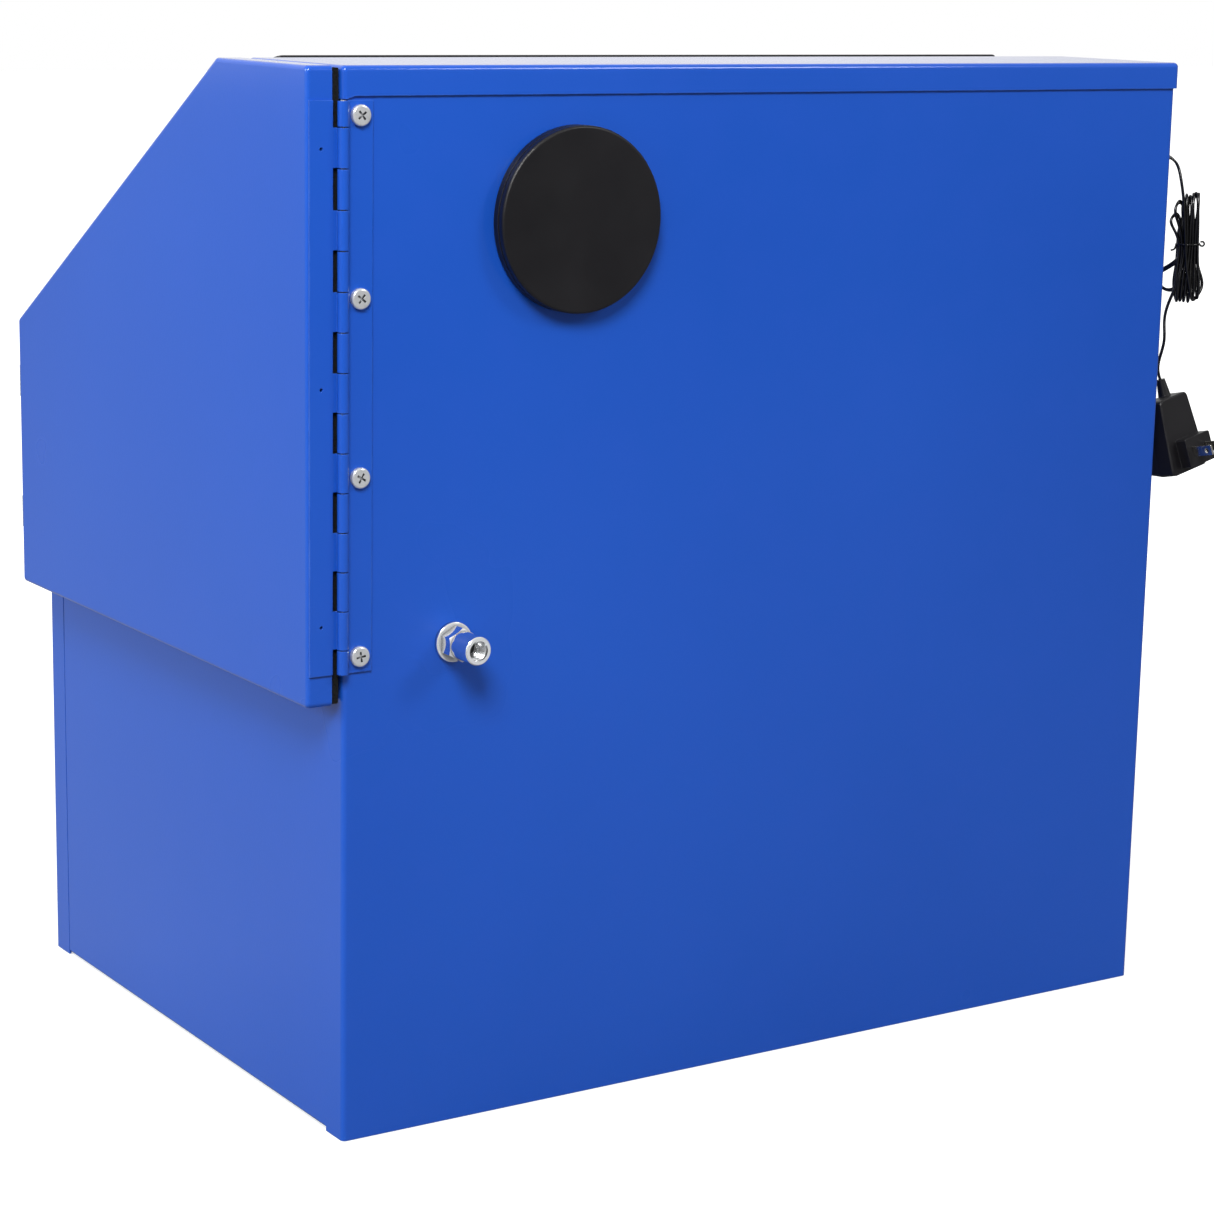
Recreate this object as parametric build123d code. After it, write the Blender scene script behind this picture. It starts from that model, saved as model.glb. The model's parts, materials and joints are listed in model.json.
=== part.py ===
from build123d import *

import math
import os

# A benchtop abrasive blast cabinet. A folded sheet-steel box has a sloping window at the front, a
# full-height side door on a piano hinge, two glove ports, a work grate over a hopper, a siphon blast gun,
# a light fed by a plug-in power adapter, an air inlet and a capped dust port.
# Millimetres. +Z is up, -Y is the operator's side and +X is the door side.
# The origin is the middle of the footprint, on the bench.

# Cabinet
WIDTH = 590.0
DEPTH = 408.0
HEIGHT = 600.0
SHEET = 1.5
GAP = 0.1
ROOF_FRONT_Y = 95.0
COVER_LIP = 16.0
REAR_FLANGE = 20.0
FRONT_FLANGE = 21.5
BEND = 3.0
COVER_DROP = SHEET + 1.9
SIDE_FOOT = 3.0
SKIRT_TOP_Z = 268.0
SEAM = 1.0

# Side door
DOOR_BOTTOM_Z = 254.0
DOOR_FRONT_Y = -195.5
DOOR_NOSE_Z = 425.0
DOOR_INNER_X = 301.8
DOOR_PAN = 15.2
DOOR_LIP = 18.0
GASKET_INNER_X = 296.8
OPENING_MARGIN = 24.0
OPENING_BOTTOM_Z = 275.0

# Piano hinge
HINGE_TOP_Z = 582.0
HINGE_BOTTOM_Z = 272.0
HINGE_PITCH = 21.7
KNUCKLE_COUNT = 13
KNUCKLE_R = 3.2
KNUCKLE_GAP = 0.6
HINGE_PIN_R = 1.6
HINGE_X = 297.0
LEAF = 1.3
BODY_LEAF_X = 278.0
DOOR_LEAF_X = 316.0
HINGE_SCREW_X = 286.0
HINGE_SCREW_Z = (574.0, 477.0, 380.0, 281.0)
RIVET_HOLE_X = 309.0
RIVET_HOLE_Z = (556.5, 429.0, 299.0)
RIVET_HOLE_R = 0.95
SCREW_R = 2.5
SCREW_HEAD_R = 5.8
SCREW_HEAD = 3.0

# Window, measured down the slope from the roof edge
WINDOW_WIDTH = 532.0
WINDOW_TOP = 25.5
WINDOW_LENGTH = 284.0
WINDOW_BORDER = 24.0
FRAME_RISE = 15.5
GLASS = 4.0
WINDOW_GASKET = 2.5

# Glove ports
PORT_X = 125.0
PORT_Z = 304.0
PORT_R = 73.5
PORT_WALL = 3.5
PORT_FLANGE_R = 88.0
PORT_DEPTH = 38.0
HAND_Z = 232.0

# Dust port and air inlet
VENT_X = 151.0
VENT_Z = 515.5
VENT_R = 46.5
VENT_WALL = 1.5
CAP_R = 52.0
CAP_RISE = 11.0
INLET_X = 226.0
INLET_Z = 282.7
INLET_R = 5.72
INLET_REACH = 29.0
INLET_STUD_R = 6.5

# Floor
GRATE_Z = 204.0
GRATE = 2.0
GRATE_PITCH = 24.0
GRATE_HOLE_R = 7.0
HOPPER_TOP_Z = 184.0
HOPPER_FLOOR_Z = 14.0

# Door latches
LATCH_Z = (385.0, 300.0)
LATCH_X = 276.0
LATCH_Y = -211.0
LATCH_CRANK = 9.0
BAIL_R = 1.3
BAIL_HALF_WIDTH = 10.4
BAIL_END_X = 306.3
BAIL_END_Y = -214.9

# Blast gun, hung on the wall opposite the door with its barrel level
GUN_X = -255.0
GUN_Y = 0.0
GUN_Z = 480.0
GRIP_LEAN = 10.0
VALVE_Z = 440.0
VALVE_R = 2.4
TRIGGER_Y = 16.0
TRIGGER_Z = 462.0
MEDIA_INLET_WAY = (0.0, -0.6, 0.8)
PICKUP_LOW = (-34.0, 22.0, 28.0)
PICKUP_TOP = (-150.0, 98.0, 132.0)

# Light, switch and power adapter
LIGHT_Y = 140.0
SWITCH_X = -256.0
SWITCH_Z = 378.0
SWITCH_W = 13.0
SWITCH_H = 19.0
GROMMET_Y = 172.0
GROMMET_Z = 545.0
GROMMET_R = 5.5
HANK = (-330.0, 186.0, 481.0)
HANK_R = 10.0
ADAPTER = (-324.0, 197.5, 362.5)
ADAPTER_TURN = 5.0
ADAPTER_PITCH = 12.0
ADAPTER_ROLL = 11.5
ADAPTER_BOOT = (-5.0, -12.0)
ADAPTER_PAD = (-4.0, -12.5)
PAD_RISE = 8.0

REAR_Y = DEPTH / 2
FRONT_Y = -DEPTH / 2
SIDE_X = WIDTH / 2
HINGE_Y = REAR_Y + KNUCKLE_R + GAP
DOOR_OUTER_X = DOOR_INNER_X + DOOR_PAN
SLOPE = math.atan2(HEIGHT - DOOR_NOSE_Z, ROOF_FRONT_Y - DOOR_FRONT_Y)

# The slope's own plane: local X is the cabinet's X, local Y runs up the slope, local Z points out of it.
SLOPE_PLANE = Plane(
    origin=(0, ROOF_FRONT_Y, HEIGHT),
    x_dir=(1, 0, 0),
    z_dir=(0, -math.sin(SLOPE), math.cos(SLOPE)),
)
WINDOW_MID = -(WINDOW_TOP + WINDOW_LENGTH / 2)


def block(x, y, z):
    """A box between three (low, high) pairs."""
    middle = [(low + high) / 2 for low, high in (x, y, z)]
    return Pos(*middle) * Box(x[1] - x[0], y[1] - y[0], z[1] - z[0])


def rod(start, end, radius):
    """A round bar between two points."""
    line = Vector(*end) - Vector(*start)
    place = Plane(origin=start, z_dir=line)
    return place * Cylinder(radius, line.length, align=(Align.CENTER, Align.CENTER, Align.MIN))


def pipe(start, end, radius, bore):
    """A round tube between two points."""
    return rod(start, end, radius) - rod(start, end, bore)


def hex_bar(start, end, across_flats):
    """A hexagonal bar between two points."""
    line = Vector(*end) - Vector(*start)
    section = RegularPolygon(across_flats / 2, 6, major_radius=False)
    return extrude(Plane(origin=start, z_dir=line) * section, amount=line.length)


def cord(points, radius, start_way, end_way, lead=12.0):
    """A round cord or hose through the points, running straight for a short lead at each end."""
    points = [Vector(*point) for point in points]
    points.insert(1, points[0] + Vector(*start_way).normalized() * lead)
    points.insert(-1, points[-1] - Vector(*end_way).normalized() * lead)
    path = Spline(*points)
    section = Plane(origin=path @ 0, z_dir=path % 0) * Circle(radius)
    return sweep(section, path=path)


def side_prism(section, low_x, high_x):
    """Extrudes a section drawn in Y and Z between two X positions."""
    return extrude(Plane.YZ.offset(low_x) * section, amount=high_x - low_x)


def slope_box(width, length, low, high, middle=WINDOW_MID):
    """A box lying on the slope, between two heights above it."""
    place = SLOPE_PLANE * Pos(0, middle, (low + high) / 2)
    return place * Box(width, length, high - low)


def body_outline(half_depth, drop=0.0, bottom=0.0):
    """The cabinet's side profile, with its roof and slope lowered by drop, measured square to each."""
    top = HEIGHT - drop
    bend_y = ROOF_FRONT_Y + drop * math.tan(SLOPE / 2)
    front_z = top - (bend_y + half_depth) * math.tan(SLOPE)
    points = [
        (-half_depth, bottom),
        (half_depth, bottom),
        (half_depth, top),
        (bend_y, top),
        (-half_depth, front_z),
    ]
    return Polygon(*points, align=None)


def door_outline(inset=0.0):
    """The door's side profile, drawn in from its edge by inset."""
    points = [
        (DOOR_FRONT_Y, DOOR_BOTTOM_Z),
        (REAR_Y, DOOR_BOTTOM_Z),
        (REAR_Y, HEIGHT),
        (ROOF_FRONT_Y, HEIGHT),
        (DOOR_FRONT_Y, DOOR_NOSE_Z),
    ]
    outline = Polygon(*points, align=None)
    if inset:
        outline = offset(outline, amount=-inset, kind=Kind.INTERSECTION)
    return outline


def channel(flange, face_y, inward):
    """A panel as high as the cover, with a return flange down each side. inward is +1 or -1 along Y."""
    outer = Pos(0, face_y + inward * flange / 2) * Rectangle(WIDTH, flange)
    outer_corners = outer.vertices().filter_by(lambda v: abs(v.Y - face_y) < 1)
    outer = fillet(outer_corners, BEND)
    hollow_y = face_y + inward * (SHEET + flange / 2)
    hollow = Pos(0, hollow_y) * Rectangle(WIDTH - 2 * SHEET, flange)
    hollow_corners = hollow.vertices().filter_by(lambda v: abs(v.Y - face_y) < 2 * SHEET)
    hollow = fillet(hollow_corners, BEND - SHEET)
    panel = extrude(outer - hollow, amount=HEIGHT)
    under_cover = side_prism(body_outline(REAR_Y, COVER_DROP), -SIDE_X, SIDE_X)
    return panel & under_cover


# ---------------------------------------------------------------- cabinet shell


def rear_panel():
    """Rear sheet, wrapped round both sides and along the skirt below the door, with its holes."""
    panel = channel(REAR_FLANGE, REAR_Y, -1)
    skirt_y = (FRONT_Y + FRONT_FLANGE + SEAM, REAR_Y - REAR_FLANGE + 1)
    panel += block((SIDE_X - SHEET, SIDE_X), skirt_y, (SIDE_FOOT, SKIRT_TOP_Z))
    panel -= through_rear(VENT_X, VENT_Z, VENT_R + VENT_WALL + GAP)
    panel -= through_rear(INLET_X, INLET_Z, INLET_STUD_R + GAP)
    for z in HINGE_SCREW_Z:
        panel -= through_rear(HINGE_SCREW_X, z, SCREW_R + GAP)
    return panel


def through_rear(x, z, radius):
    """A bar through the rear sheet, for cutting a hole."""
    return rod((x, REAR_Y - 2 * SHEET, z), (x, REAR_Y + 2 * SHEET, z), radius)


def front_panel():
    """Front sheet below the slope, wrapped round both sides, with glove holes and the switch hole."""
    panel = channel(FRONT_FLANGE, FRONT_Y, 1)
    for x in (-PORT_X, PORT_X):
        panel -= through_front(x, PORT_Z, PORT_R + PORT_WALL + GAP)
    switch_hole = block(
        (SWITCH_X - SWITCH_W / 2 - GAP, SWITCH_X + SWITCH_W / 2 + GAP),
        (FRONT_Y - SHEET, FRONT_Y + 2 * SHEET),
        (SWITCH_Z - SWITCH_H / 2 - GAP, SWITCH_Z + SWITCH_H / 2 + GAP),
    )
    return panel - switch_hole


def through_front(x, z, radius):
    """A bar through the front sheet, for cutting a hole."""
    return rod((x, FRONT_Y - 2 * SHEET, z), (x, FRONT_Y + 2 * SHEET, z), radius)


def side_sheet(low_x, high_x):
    """A full side sheet that fits inside the front, rear and cover flanges."""
    return side_prism(body_outline(REAR_Y - 2 * SHEET - GAP, COVER_DROP, SIDE_FOOT), low_x, high_x)


def left_side_panel():
    """Closed side sheet, with a hole for the light's cord."""
    panel = side_sheet(-SIDE_X + SHEET + GAP, -SIDE_X + 2 * SHEET)
    hole_start = (-SIDE_X - SHEET, GROMMET_Y, GROMMET_Z)
    hole_end = (-SIDE_X + 4 * SHEET, GROMMET_Y, GROMMET_Z)
    return panel - rod(hole_start, hole_end, GROMMET_R + GAP)


def right_side_panel():
    """Door-side sheet, cut out above its lower part to leave a frame for the door seal."""
    panel = side_sheet(SIDE_X - 2 * SHEET, SIDE_X - SHEET - GAP)
    opening = body_outline(REAR_Y - OPENING_MARGIN, OPENING_MARGIN + 2, OPENING_BOTTOM_Z)
    opening = fillet(opening.vertices(), 8)
    return panel - side_prism(opening, SIDE_X - 3 * SHEET, SIDE_X)


def corner_tab():
    """The slanting tab that makes the cover's lip deeper round the hinge-side rear corner."""
    bottom = HEIGHT - COVER_LIP
    points = [
        (SIDE_X - 6, bottom + 1),
        (SIDE_X - 6, bottom),
        (SIDE_X - 1.6, bottom - 1.6),
        (SIDE_X + 9, bottom - 1.6),
        (SIDE_X + 9, bottom + 1),
    ]
    tab = Polygon(*points, align=None)
    return extrude(Plane.XZ.offset(-REAR_Y - BEND) * tab, amount=12)


def folds(solid):
    """Every edge of a solid except those that lie on the bench."""
    return solid.edges().filter_by(lambda e: e.center().Z > 1)


def top_cover():
    """Roof and window slope folded from one sheet, with a lip over every panel below."""
    outer = side_prism(body_outline(REAR_Y + SHEET), -SIDE_X - SHEET, SIDE_X + SHEET)
    outer = fillet(folds(outer), BEND)
    inner = side_prism(body_outline(REAR_Y, SHEET), -SIDE_X, SIDE_X)
    inner = fillet(folds(inner), BEND - SHEET)
    below_lips = side_prism(body_outline(REAR_Y + BEND, COVER_LIP), -WIDTH, WIDTH)
    cover = outer - inner - (below_lips - corner_tab())
    clear_width = WINDOW_WIDTH - 2 * WINDOW_BORDER
    clear_length = WINDOW_LENGTH - 2 * WINDOW_BORDER
    return cover - slope_box(clear_width, clear_length, -3 * SHEET, SHEET)


def base_pan():
    """Floor sheet with a short upstand all round."""
    half_x = SIDE_X - 2 * SHEET - GAP
    half_y = REAR_Y - SHEET - GAP
    upstand = 15.0
    pan = block((-half_x, half_x), (-half_y, half_y), (0, upstand))
    inside_x = half_x - SHEET
    inside_y = half_y - SHEET
    return pan - block((-inside_x, inside_x), (-inside_y, inside_y), (SHEET, upstand + 1))


def hopper():
    """Four-sided funnel under the grate, closed at the bottom, where the abrasive collects."""
    top_x = SIDE_X - 2 * SHEET - GAP
    top_y = REAR_Y - SHEET - GAP
    floor_half = 60.0
    wall = 2.4

    def frustum(shrink, low, high):
        lower = Pos(0, 0, low) * Rectangle(2 * (floor_half - shrink), 2 * (floor_half - shrink))
        upper = Pos(0, 0, high) * Rectangle(2 * (top_x - shrink), 2 * (top_y - shrink))
        return loft([lower, upper])

    return frustum(0, HOPPER_FLOOR_Z, HOPPER_TOP_Z) - frustum(
        wall, HOPPER_FLOOR_Z + SHEET, HOPPER_TOP_Z + SHEET
    )


def grate_rails():
    """Two angles that carry the grate, on the front and rear sheets."""
    half_x = SIDE_X - 2 * SHEET - 4
    reach = 18.0
    rails = []
    for way in (-1, 1):
        wall_y = way * (REAR_Y - SHEET - GAP)
        shelf_y = sorted((wall_y, wall_y - way * reach))
        leg_y = sorted((wall_y, wall_y - way * SHEET))
        shelf = block((-half_x, half_x), shelf_y, (GRATE_Z - SHEET - GAP, GRATE_Z - GAP))
        leg = block((-half_x, half_x), leg_y, (GRATE_Z - reach, GRATE_Z - GAP))
        rails.append(shelf + leg)
    return Compound(children=rails)


def work_grate():
    """Punched floor plate that lifts out, with a notch for the abrasive hose in one corner."""
    half_x = SIDE_X - 2 * SHEET - 3
    half_y = REAR_Y - SHEET - 3
    plate = Rectangle(2 * half_x, 2 * half_y)
    columns = int((2 * half_x - 30) // GRATE_PITCH)
    rows = int((2 * half_y - 30) // GRATE_PITCH)
    holes = GridLocations(GRATE_PITCH, GRATE_PITCH, columns, rows) * Circle(GRATE_HOLE_R)
    notch = Pos(-half_x, half_y) * Rectangle(130, 100)
    plate = plate - holes - notch
    return extrude(Pos(0, 0, GRATE_Z) * plate, amount=GRATE)


# ---------------------------------------------------------------- piano hinge

def knuckle_spans():
    """(low, high, owner) of each knuckle from the top down. Both ends are short ones on the body leaf."""
    end_height = (HINGE_TOP_Z - HINGE_BOTTOM_Z - KNUCKLE_COUNT * HINGE_PITCH) / 2
    inner_edges = [HINGE_TOP_Z - end_height - i * HINGE_PITCH for i in range(KNUCKLE_COUNT + 1)]
    edges = [HINGE_TOP_Z] + inner_edges + [HINGE_BOTTOM_Z]
    spans = []
    for i, (high, low) in enumerate(zip(edges, edges[1:])):
        owner = "body" if i % 2 == 0 else "door"
        spans.append((low + KNUCKLE_GAP / 2, high - KNUCKLE_GAP / 2, owner))
    return spans


def hinge_leaf(owner, near_x, flat_x):
    """One leaf of the hinge: a flat strip with every other knuckle rolled round the pin."""
    leaf_y = (REAR_Y, REAR_Y + LEAF)
    leaf = block(sorted((near_x, flat_x)), leaf_y, (HINGE_BOTTOM_Z, HINGE_TOP_Z))
    for low, high, whose in knuckle_spans():
        if whose == owner:
            leaf += block(sorted((HINGE_X, near_x)), leaf_y, (low, high))
            leaf += rod((HINGE_X, HINGE_Y, low), (HINGE_X, HINGE_Y, high), KNUCKLE_R)
    bore = rod((HINGE_X, HINGE_Y, 0), (HINGE_X, HINGE_Y, HEIGHT), HINGE_PIN_R + 0.05)
    return leaf - bore


def rivet_holes():
    """Three pin holes through the door's leaf and the flange behind it."""
    bars = []
    for z in RIVET_HOLE_Z:
        bars.append(rod((RIVET_HOLE_X, REAR_Y - 3, z), (RIVET_HOLE_X, REAR_Y + 3, z), RIVET_HOLE_R))
    return Compound(children=bars)


def hinge_leaf_door():
    """Leaf welded to the door's rear flange."""
    leaf = hinge_leaf("door", DOOR_INNER_X + 0.2, DOOR_LEAF_X)
    for bar in rivet_holes().solids():
        leaf -= bar
    return leaf


def hinge_leaf_body():
    """Leaf screwed to the rear panel."""
    leaf = hinge_leaf("body", HINGE_X - KNUCKLE_R - 0.5, BODY_LEAF_X)
    for z in HINGE_SCREW_Z:
        leaf -= rod((HINGE_SCREW_X, REAR_Y - 1, z), (HINGE_SCREW_X, REAR_Y + 5, z), SCREW_R + GAP)
    return leaf


def hinge_pin():
    """Wire pin through all the knuckles."""
    return rod((HINGE_X, HINGE_Y, HINGE_BOTTOM_Z), (HINGE_X, HINGE_Y, HINGE_TOP_Z), HINGE_PIN_R)


def cross_recess(half, width, depth):
    """The plus-shaped recess of a cross-head screw, cut downwards from Z 0."""
    slot = Box(2 * half, width, depth, align=(Align.CENTER, Align.CENTER, Align.MAX))
    return slot + Rot(0, 0, 90) * slot


def pan_screw(head_r, head, shank_r, length):
    """Cross-head pan screw along Z, its head's seat at Z 0 and its shank below."""
    crown = Cylinder(head_r, head, align=(Align.CENTER, Align.CENTER, Align.MIN))
    crown = fillet(crown.edges().group_by(Axis.Z)[-1], head * 0.45)
    crown -= Pos(0, 0, head) * cross_recess(head_r * 0.5, head_r * 0.2, head * 0.5)
    shank = Cylinder(shank_r, length, align=(Align.CENTER, Align.CENTER, Align.MAX))
    return crown + shank


def facing_rear(x, y, z, turn=0):
    """A place whose local Z points out of the rear panel."""
    return Plane(origin=(x, y, z), x_dir=(-1, 0, 0), z_dir=(0, 1, 0)) * Rot(0, 0, turn)


def facing_front(x, y, z, turn=0):
    """A place whose local Z points out of the front panel."""
    return Plane(origin=(x, y, z), x_dir=(1, 0, 0), z_dir=(0, -1, 0)) * Rot(0, 0, turn)


def hinge_screws():
    """Four cross-head screws holding the hinge to the rear panel."""
    screw = pan_screw(SCREW_HEAD_R, SCREW_HEAD, SCREW_R, 10)
    turns = (38, 52, 60, 8)
    places = [
        facing_rear(HINGE_SCREW_X, REAR_Y + LEAF, z, turn) for z, turn in zip(HINGE_SCREW_Z, turns)
    ]
    return Compound(children=[place * screw for place in places])


def hinge_nuts():
    """Nuts for the hinge screws, inside the rear panel."""
    inside = REAR_Y - SHEET
    nuts = []
    for z in HINGE_SCREW_Z:
        nut = hex_bar((HINGE_SCREW_X, inside, z), (HINGE_SCREW_X, inside - 4, z), 8)
        hole = rod((HINGE_SCREW_X, inside + 1, z), (HINGE_SCREW_X, inside - 5, z), SCREW_R + 0.02)
        nuts.append(nut - hole)
    return Compound(children=nuts)


# ---------------------------------------------------------------- side door


def door_panel():
    """Door pan: face sheet, edge flanges and an inward lip that carries the seal."""
    outer = side_prism(fillet(door_outline().vertices(), BEND), DOOR_INNER_X, DOOR_OUTER_X)
    outer = fillet(outer.edges().group_by(Axis.X)[-1], BEND - 0.6)
    hollow = side_prism(door_outline(SHEET), DOOR_INNER_X + SHEET, DOOR_OUTER_X - SHEET)
    mouth = side_prism(door_outline(DOOR_LIP), DOOR_INNER_X - SHEET, DOOR_INNER_X + 2 * SHEET)
    panel = outer - hollow - mouth
    for bar in rivet_holes().solids():
        panel -= bar
    return panel


def door_gasket():
    """Foam strip round the door's edge that closes against the cabinet."""
    strip = door_outline(1.0) - door_outline(DOOR_LIP - 2)
    return side_prism(strip, GASKET_INNER_X, DOOR_INNER_X - GAP)


def latch_bases():
    """Latch base plates on the front panel, each with two ears and the lever's pivot pin."""
    bases = []
    face = FRONT_Y
    for z in LATCH_Z:
        base = block((234, 288), (face - SHEET, face), (z - 13, z + 13))
        for way in (-1, 1):
            ear_z = sorted((z + way * 7.1, z + way * 8.3))
            base += block((LATCH_X - 5, LATCH_X + 5), (LATCH_Y, face - SHEET), ear_z)
            base += rod((LATCH_X, LATCH_Y, ear_z[0]), (LATCH_X, LATCH_Y, ear_z[1]), 5)
        base += rod((LATCH_X, LATCH_Y, z - 8.3), (LATCH_X, LATCH_Y, z + 8.3), 1.5)
        for x in (241, 260):
            head = Cylinder(3.2, 1.4, align=(Align.CENTER, Align.CENTER, Align.MIN))
            base += facing_front(x, face - SHEET, z) * head
        bases.append(base)
    return Compound(children=bases)


def latch_lever(z):
    """Folding handle of one latch, lying back along the panel when shut."""
    handle = block((234, LATCH_X - LATCH_CRANK - 4), (LATCH_Y - 3, LATCH_Y - 1.4), (z - 8, z + 8))
    handle = fillet(handle.edges().filter_by(Axis.Y).group_by(Axis.X)[0], 5)
    cheeks = block((244, LATCH_X + 4), (LATCH_Y - 3, LATCH_Y + 3), (z - 6.5, z + 6.5))
    cheeks -= block((230, LATCH_X + 9), (LATCH_Y - 1.4, LATCH_Y + 9), (z - 5.1, z + 5.1))
    lever = handle + cheeks
    lever -= rod((LATCH_X, LATCH_Y, z - 20), (LATCH_X, LATCH_Y, z + 20), 1.55)
    bail_x = LATCH_X - LATCH_CRANK
    return lever - rod((bail_x, LATCH_Y, z - 20), (bail_x, LATCH_Y, z + 20), BAIL_R + 0.05)


def latch_bail(z):
    """Wire loop of one latch, from the lever's crank to just over the keeper's lip."""
    start = (LATCH_X - LATCH_CRANK, LATCH_Y)
    end = (BAIL_END_X, BAIL_END_Y)
    loop = rod((*end, z - BAIL_HALF_WIDTH), (*end, z + BAIL_HALF_WIDTH), BAIL_R)
    for way in (-1, 1):
        leg_z = z + way * BAIL_HALF_WIDTH
        loop += rod((*start, leg_z), (*end, leg_z), BAIL_R)
        loop += rod((*start, z + way * 5.3), (*start, leg_z), BAIL_R)
        for x, y in (start, end):
            loop += Pos(x, y, leg_z) * Sphere(BAIL_R)
    return loop


def latch_keepers():
    """Hooked plates on the door's front flange that the latch loops pull on."""
    keepers = []
    for z in LATCH_Z:
        foot = block((303, 316), (DOOR_FRONT_Y - SHEET, DOOR_FRONT_Y), (z - 10, z + 10))
        lip = block((303, 304.5), (LATCH_Y - 2, DOOR_FRONT_Y), (z - 8, z + 8))
        keepers.append(foot + lip)
    return Compound(children=keepers)


# ---------------------------------------------------------------- window


def window_gasket():
    """Flat rubber ring between the slope and the glass."""
    inside = 2 * (WINDOW_BORDER - 2)
    ring = slope_box(WINDOW_WIDTH - 8, WINDOW_LENGTH - 8, GAP, WINDOW_GASKET)
    return ring - slope_box(WINDOW_WIDTH - inside, WINDOW_LENGTH - inside, 0, FRAME_RISE)


def window_glass():
    """Toughened glass pane."""
    low = WINDOW_GASKET + GAP
    return slope_box(WINDOW_WIDTH - 10, WINDOW_LENGTH - 10, low, low + GLASS)


def window_frame():
    """Raised frame that clamps the glass down, open underneath."""
    frame = slope_box(WINDOW_WIDTH, WINDOW_LENGTH, GAP, FRAME_RISE)
    frame = fillet(frame.edges().filter_by(Axis((0, 0, 0), SLOPE_PLANE.z_dir)), 6)
    inside = 2 * WINDOW_BORDER
    frame -= slope_box(WINDOW_WIDTH - inside, WINDOW_LENGTH - inside, 0, FRAME_RISE + 1)
    rebate = WINDOW_GASKET + GLASS + 2 * GAP
    frame -= slope_box(WINDOW_WIDTH - 6, WINDOW_LENGTH - 6, 0, rebate)
    for spot in window_screw_spots():
        frame -= SLOPE_PLANE * Pos(*spot, FRAME_RISE) * Cylinder(2.1, 4)
    return frame


def window_screw_spots():
    """Screw positions round the window frame, on the slope's plane."""
    edge = 9.0
    half_x = WINDOW_WIDTH / 2 - edge
    low_y = WINDOW_MID - WINDOW_LENGTH / 2 + edge
    high_y = WINDOW_MID + WINDOW_LENGTH / 2 - edge
    spots = [(x, y) for x in (-half_x, -half_x / 3, half_x / 3, half_x) for y in (low_y, high_y)]
    return spots + [(-half_x, WINDOW_MID), (half_x, WINDOW_MID)]


def window_screws():
    """Small pan screws round the window frame."""
    screw = pan_screw(4.0, 2.2, 2.0, 1.9)
    places = [SLOPE_PLANE * Pos(*spot, FRAME_RISE) for spot in window_screw_spots()]
    return Compound(children=[place * screw for place in places])


# ---------------------------------------------------------------- glove ports and gloves


def glove_port(x):
    """Moulded ring through the front panel: an outer flange and a sleeve reaching in."""
    outer_y = FRONT_Y - 4
    inner_y = FRONT_Y + PORT_DEPTH
    ring = rod((x, outer_y, PORT_Z), (x, FRONT_Y - GAP, PORT_Z), PORT_FLANGE_R)
    ring = fillet(ring.edges().group_by(Axis.Y)[0], 2)
    ring += rod((x, outer_y + 2, PORT_Z), (x, inner_y, PORT_Z), PORT_R + PORT_WALL)
    ring += pipe((x, inner_y - 3, PORT_Z), (x, inner_y, PORT_Z), PORT_R + PORT_WALL + 1.2, PORT_R)
    return ring - rod((x, outer_y - 5, PORT_Z), (x, inner_y + 5, PORT_Z), PORT_R)


def glove_clamp(x):
    """Worm-drive band round the glove's cuff."""
    band_r = PORT_R + PORT_WALL + 3.3
    low_y = FRONT_Y + 14
    band = pipe((x, low_y, PORT_Z), (x, low_y + 9, PORT_Z), band_r + 0.8, band_r)
    top = PORT_Z + band_r
    housing = block((x - 9, x + 9), (low_y - 1, low_y + 10), (top + 0.2, top + 8))
    housing = fillet(housing.edges().filter_by(Axis.X), 2)
    screw = rod((x - 15, low_y + 4.5, top + 5), (x - 8, low_y + 4.5, top + 5), 3.2)
    return band + housing + screw


def capsule(start, end, radius):
    """A round bar with domed ends."""
    line = Vector(*end) - Vector(*start)
    bar = Cylinder(radius, line.length + 2 * radius)
    bar = fillet(bar.edges().filter_by(GeomType.CIRCLE), radius * 0.96)
    middle = Vector(*start) + line * 0.5
    return Plane(origin=middle, z_dir=line) * bar


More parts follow.
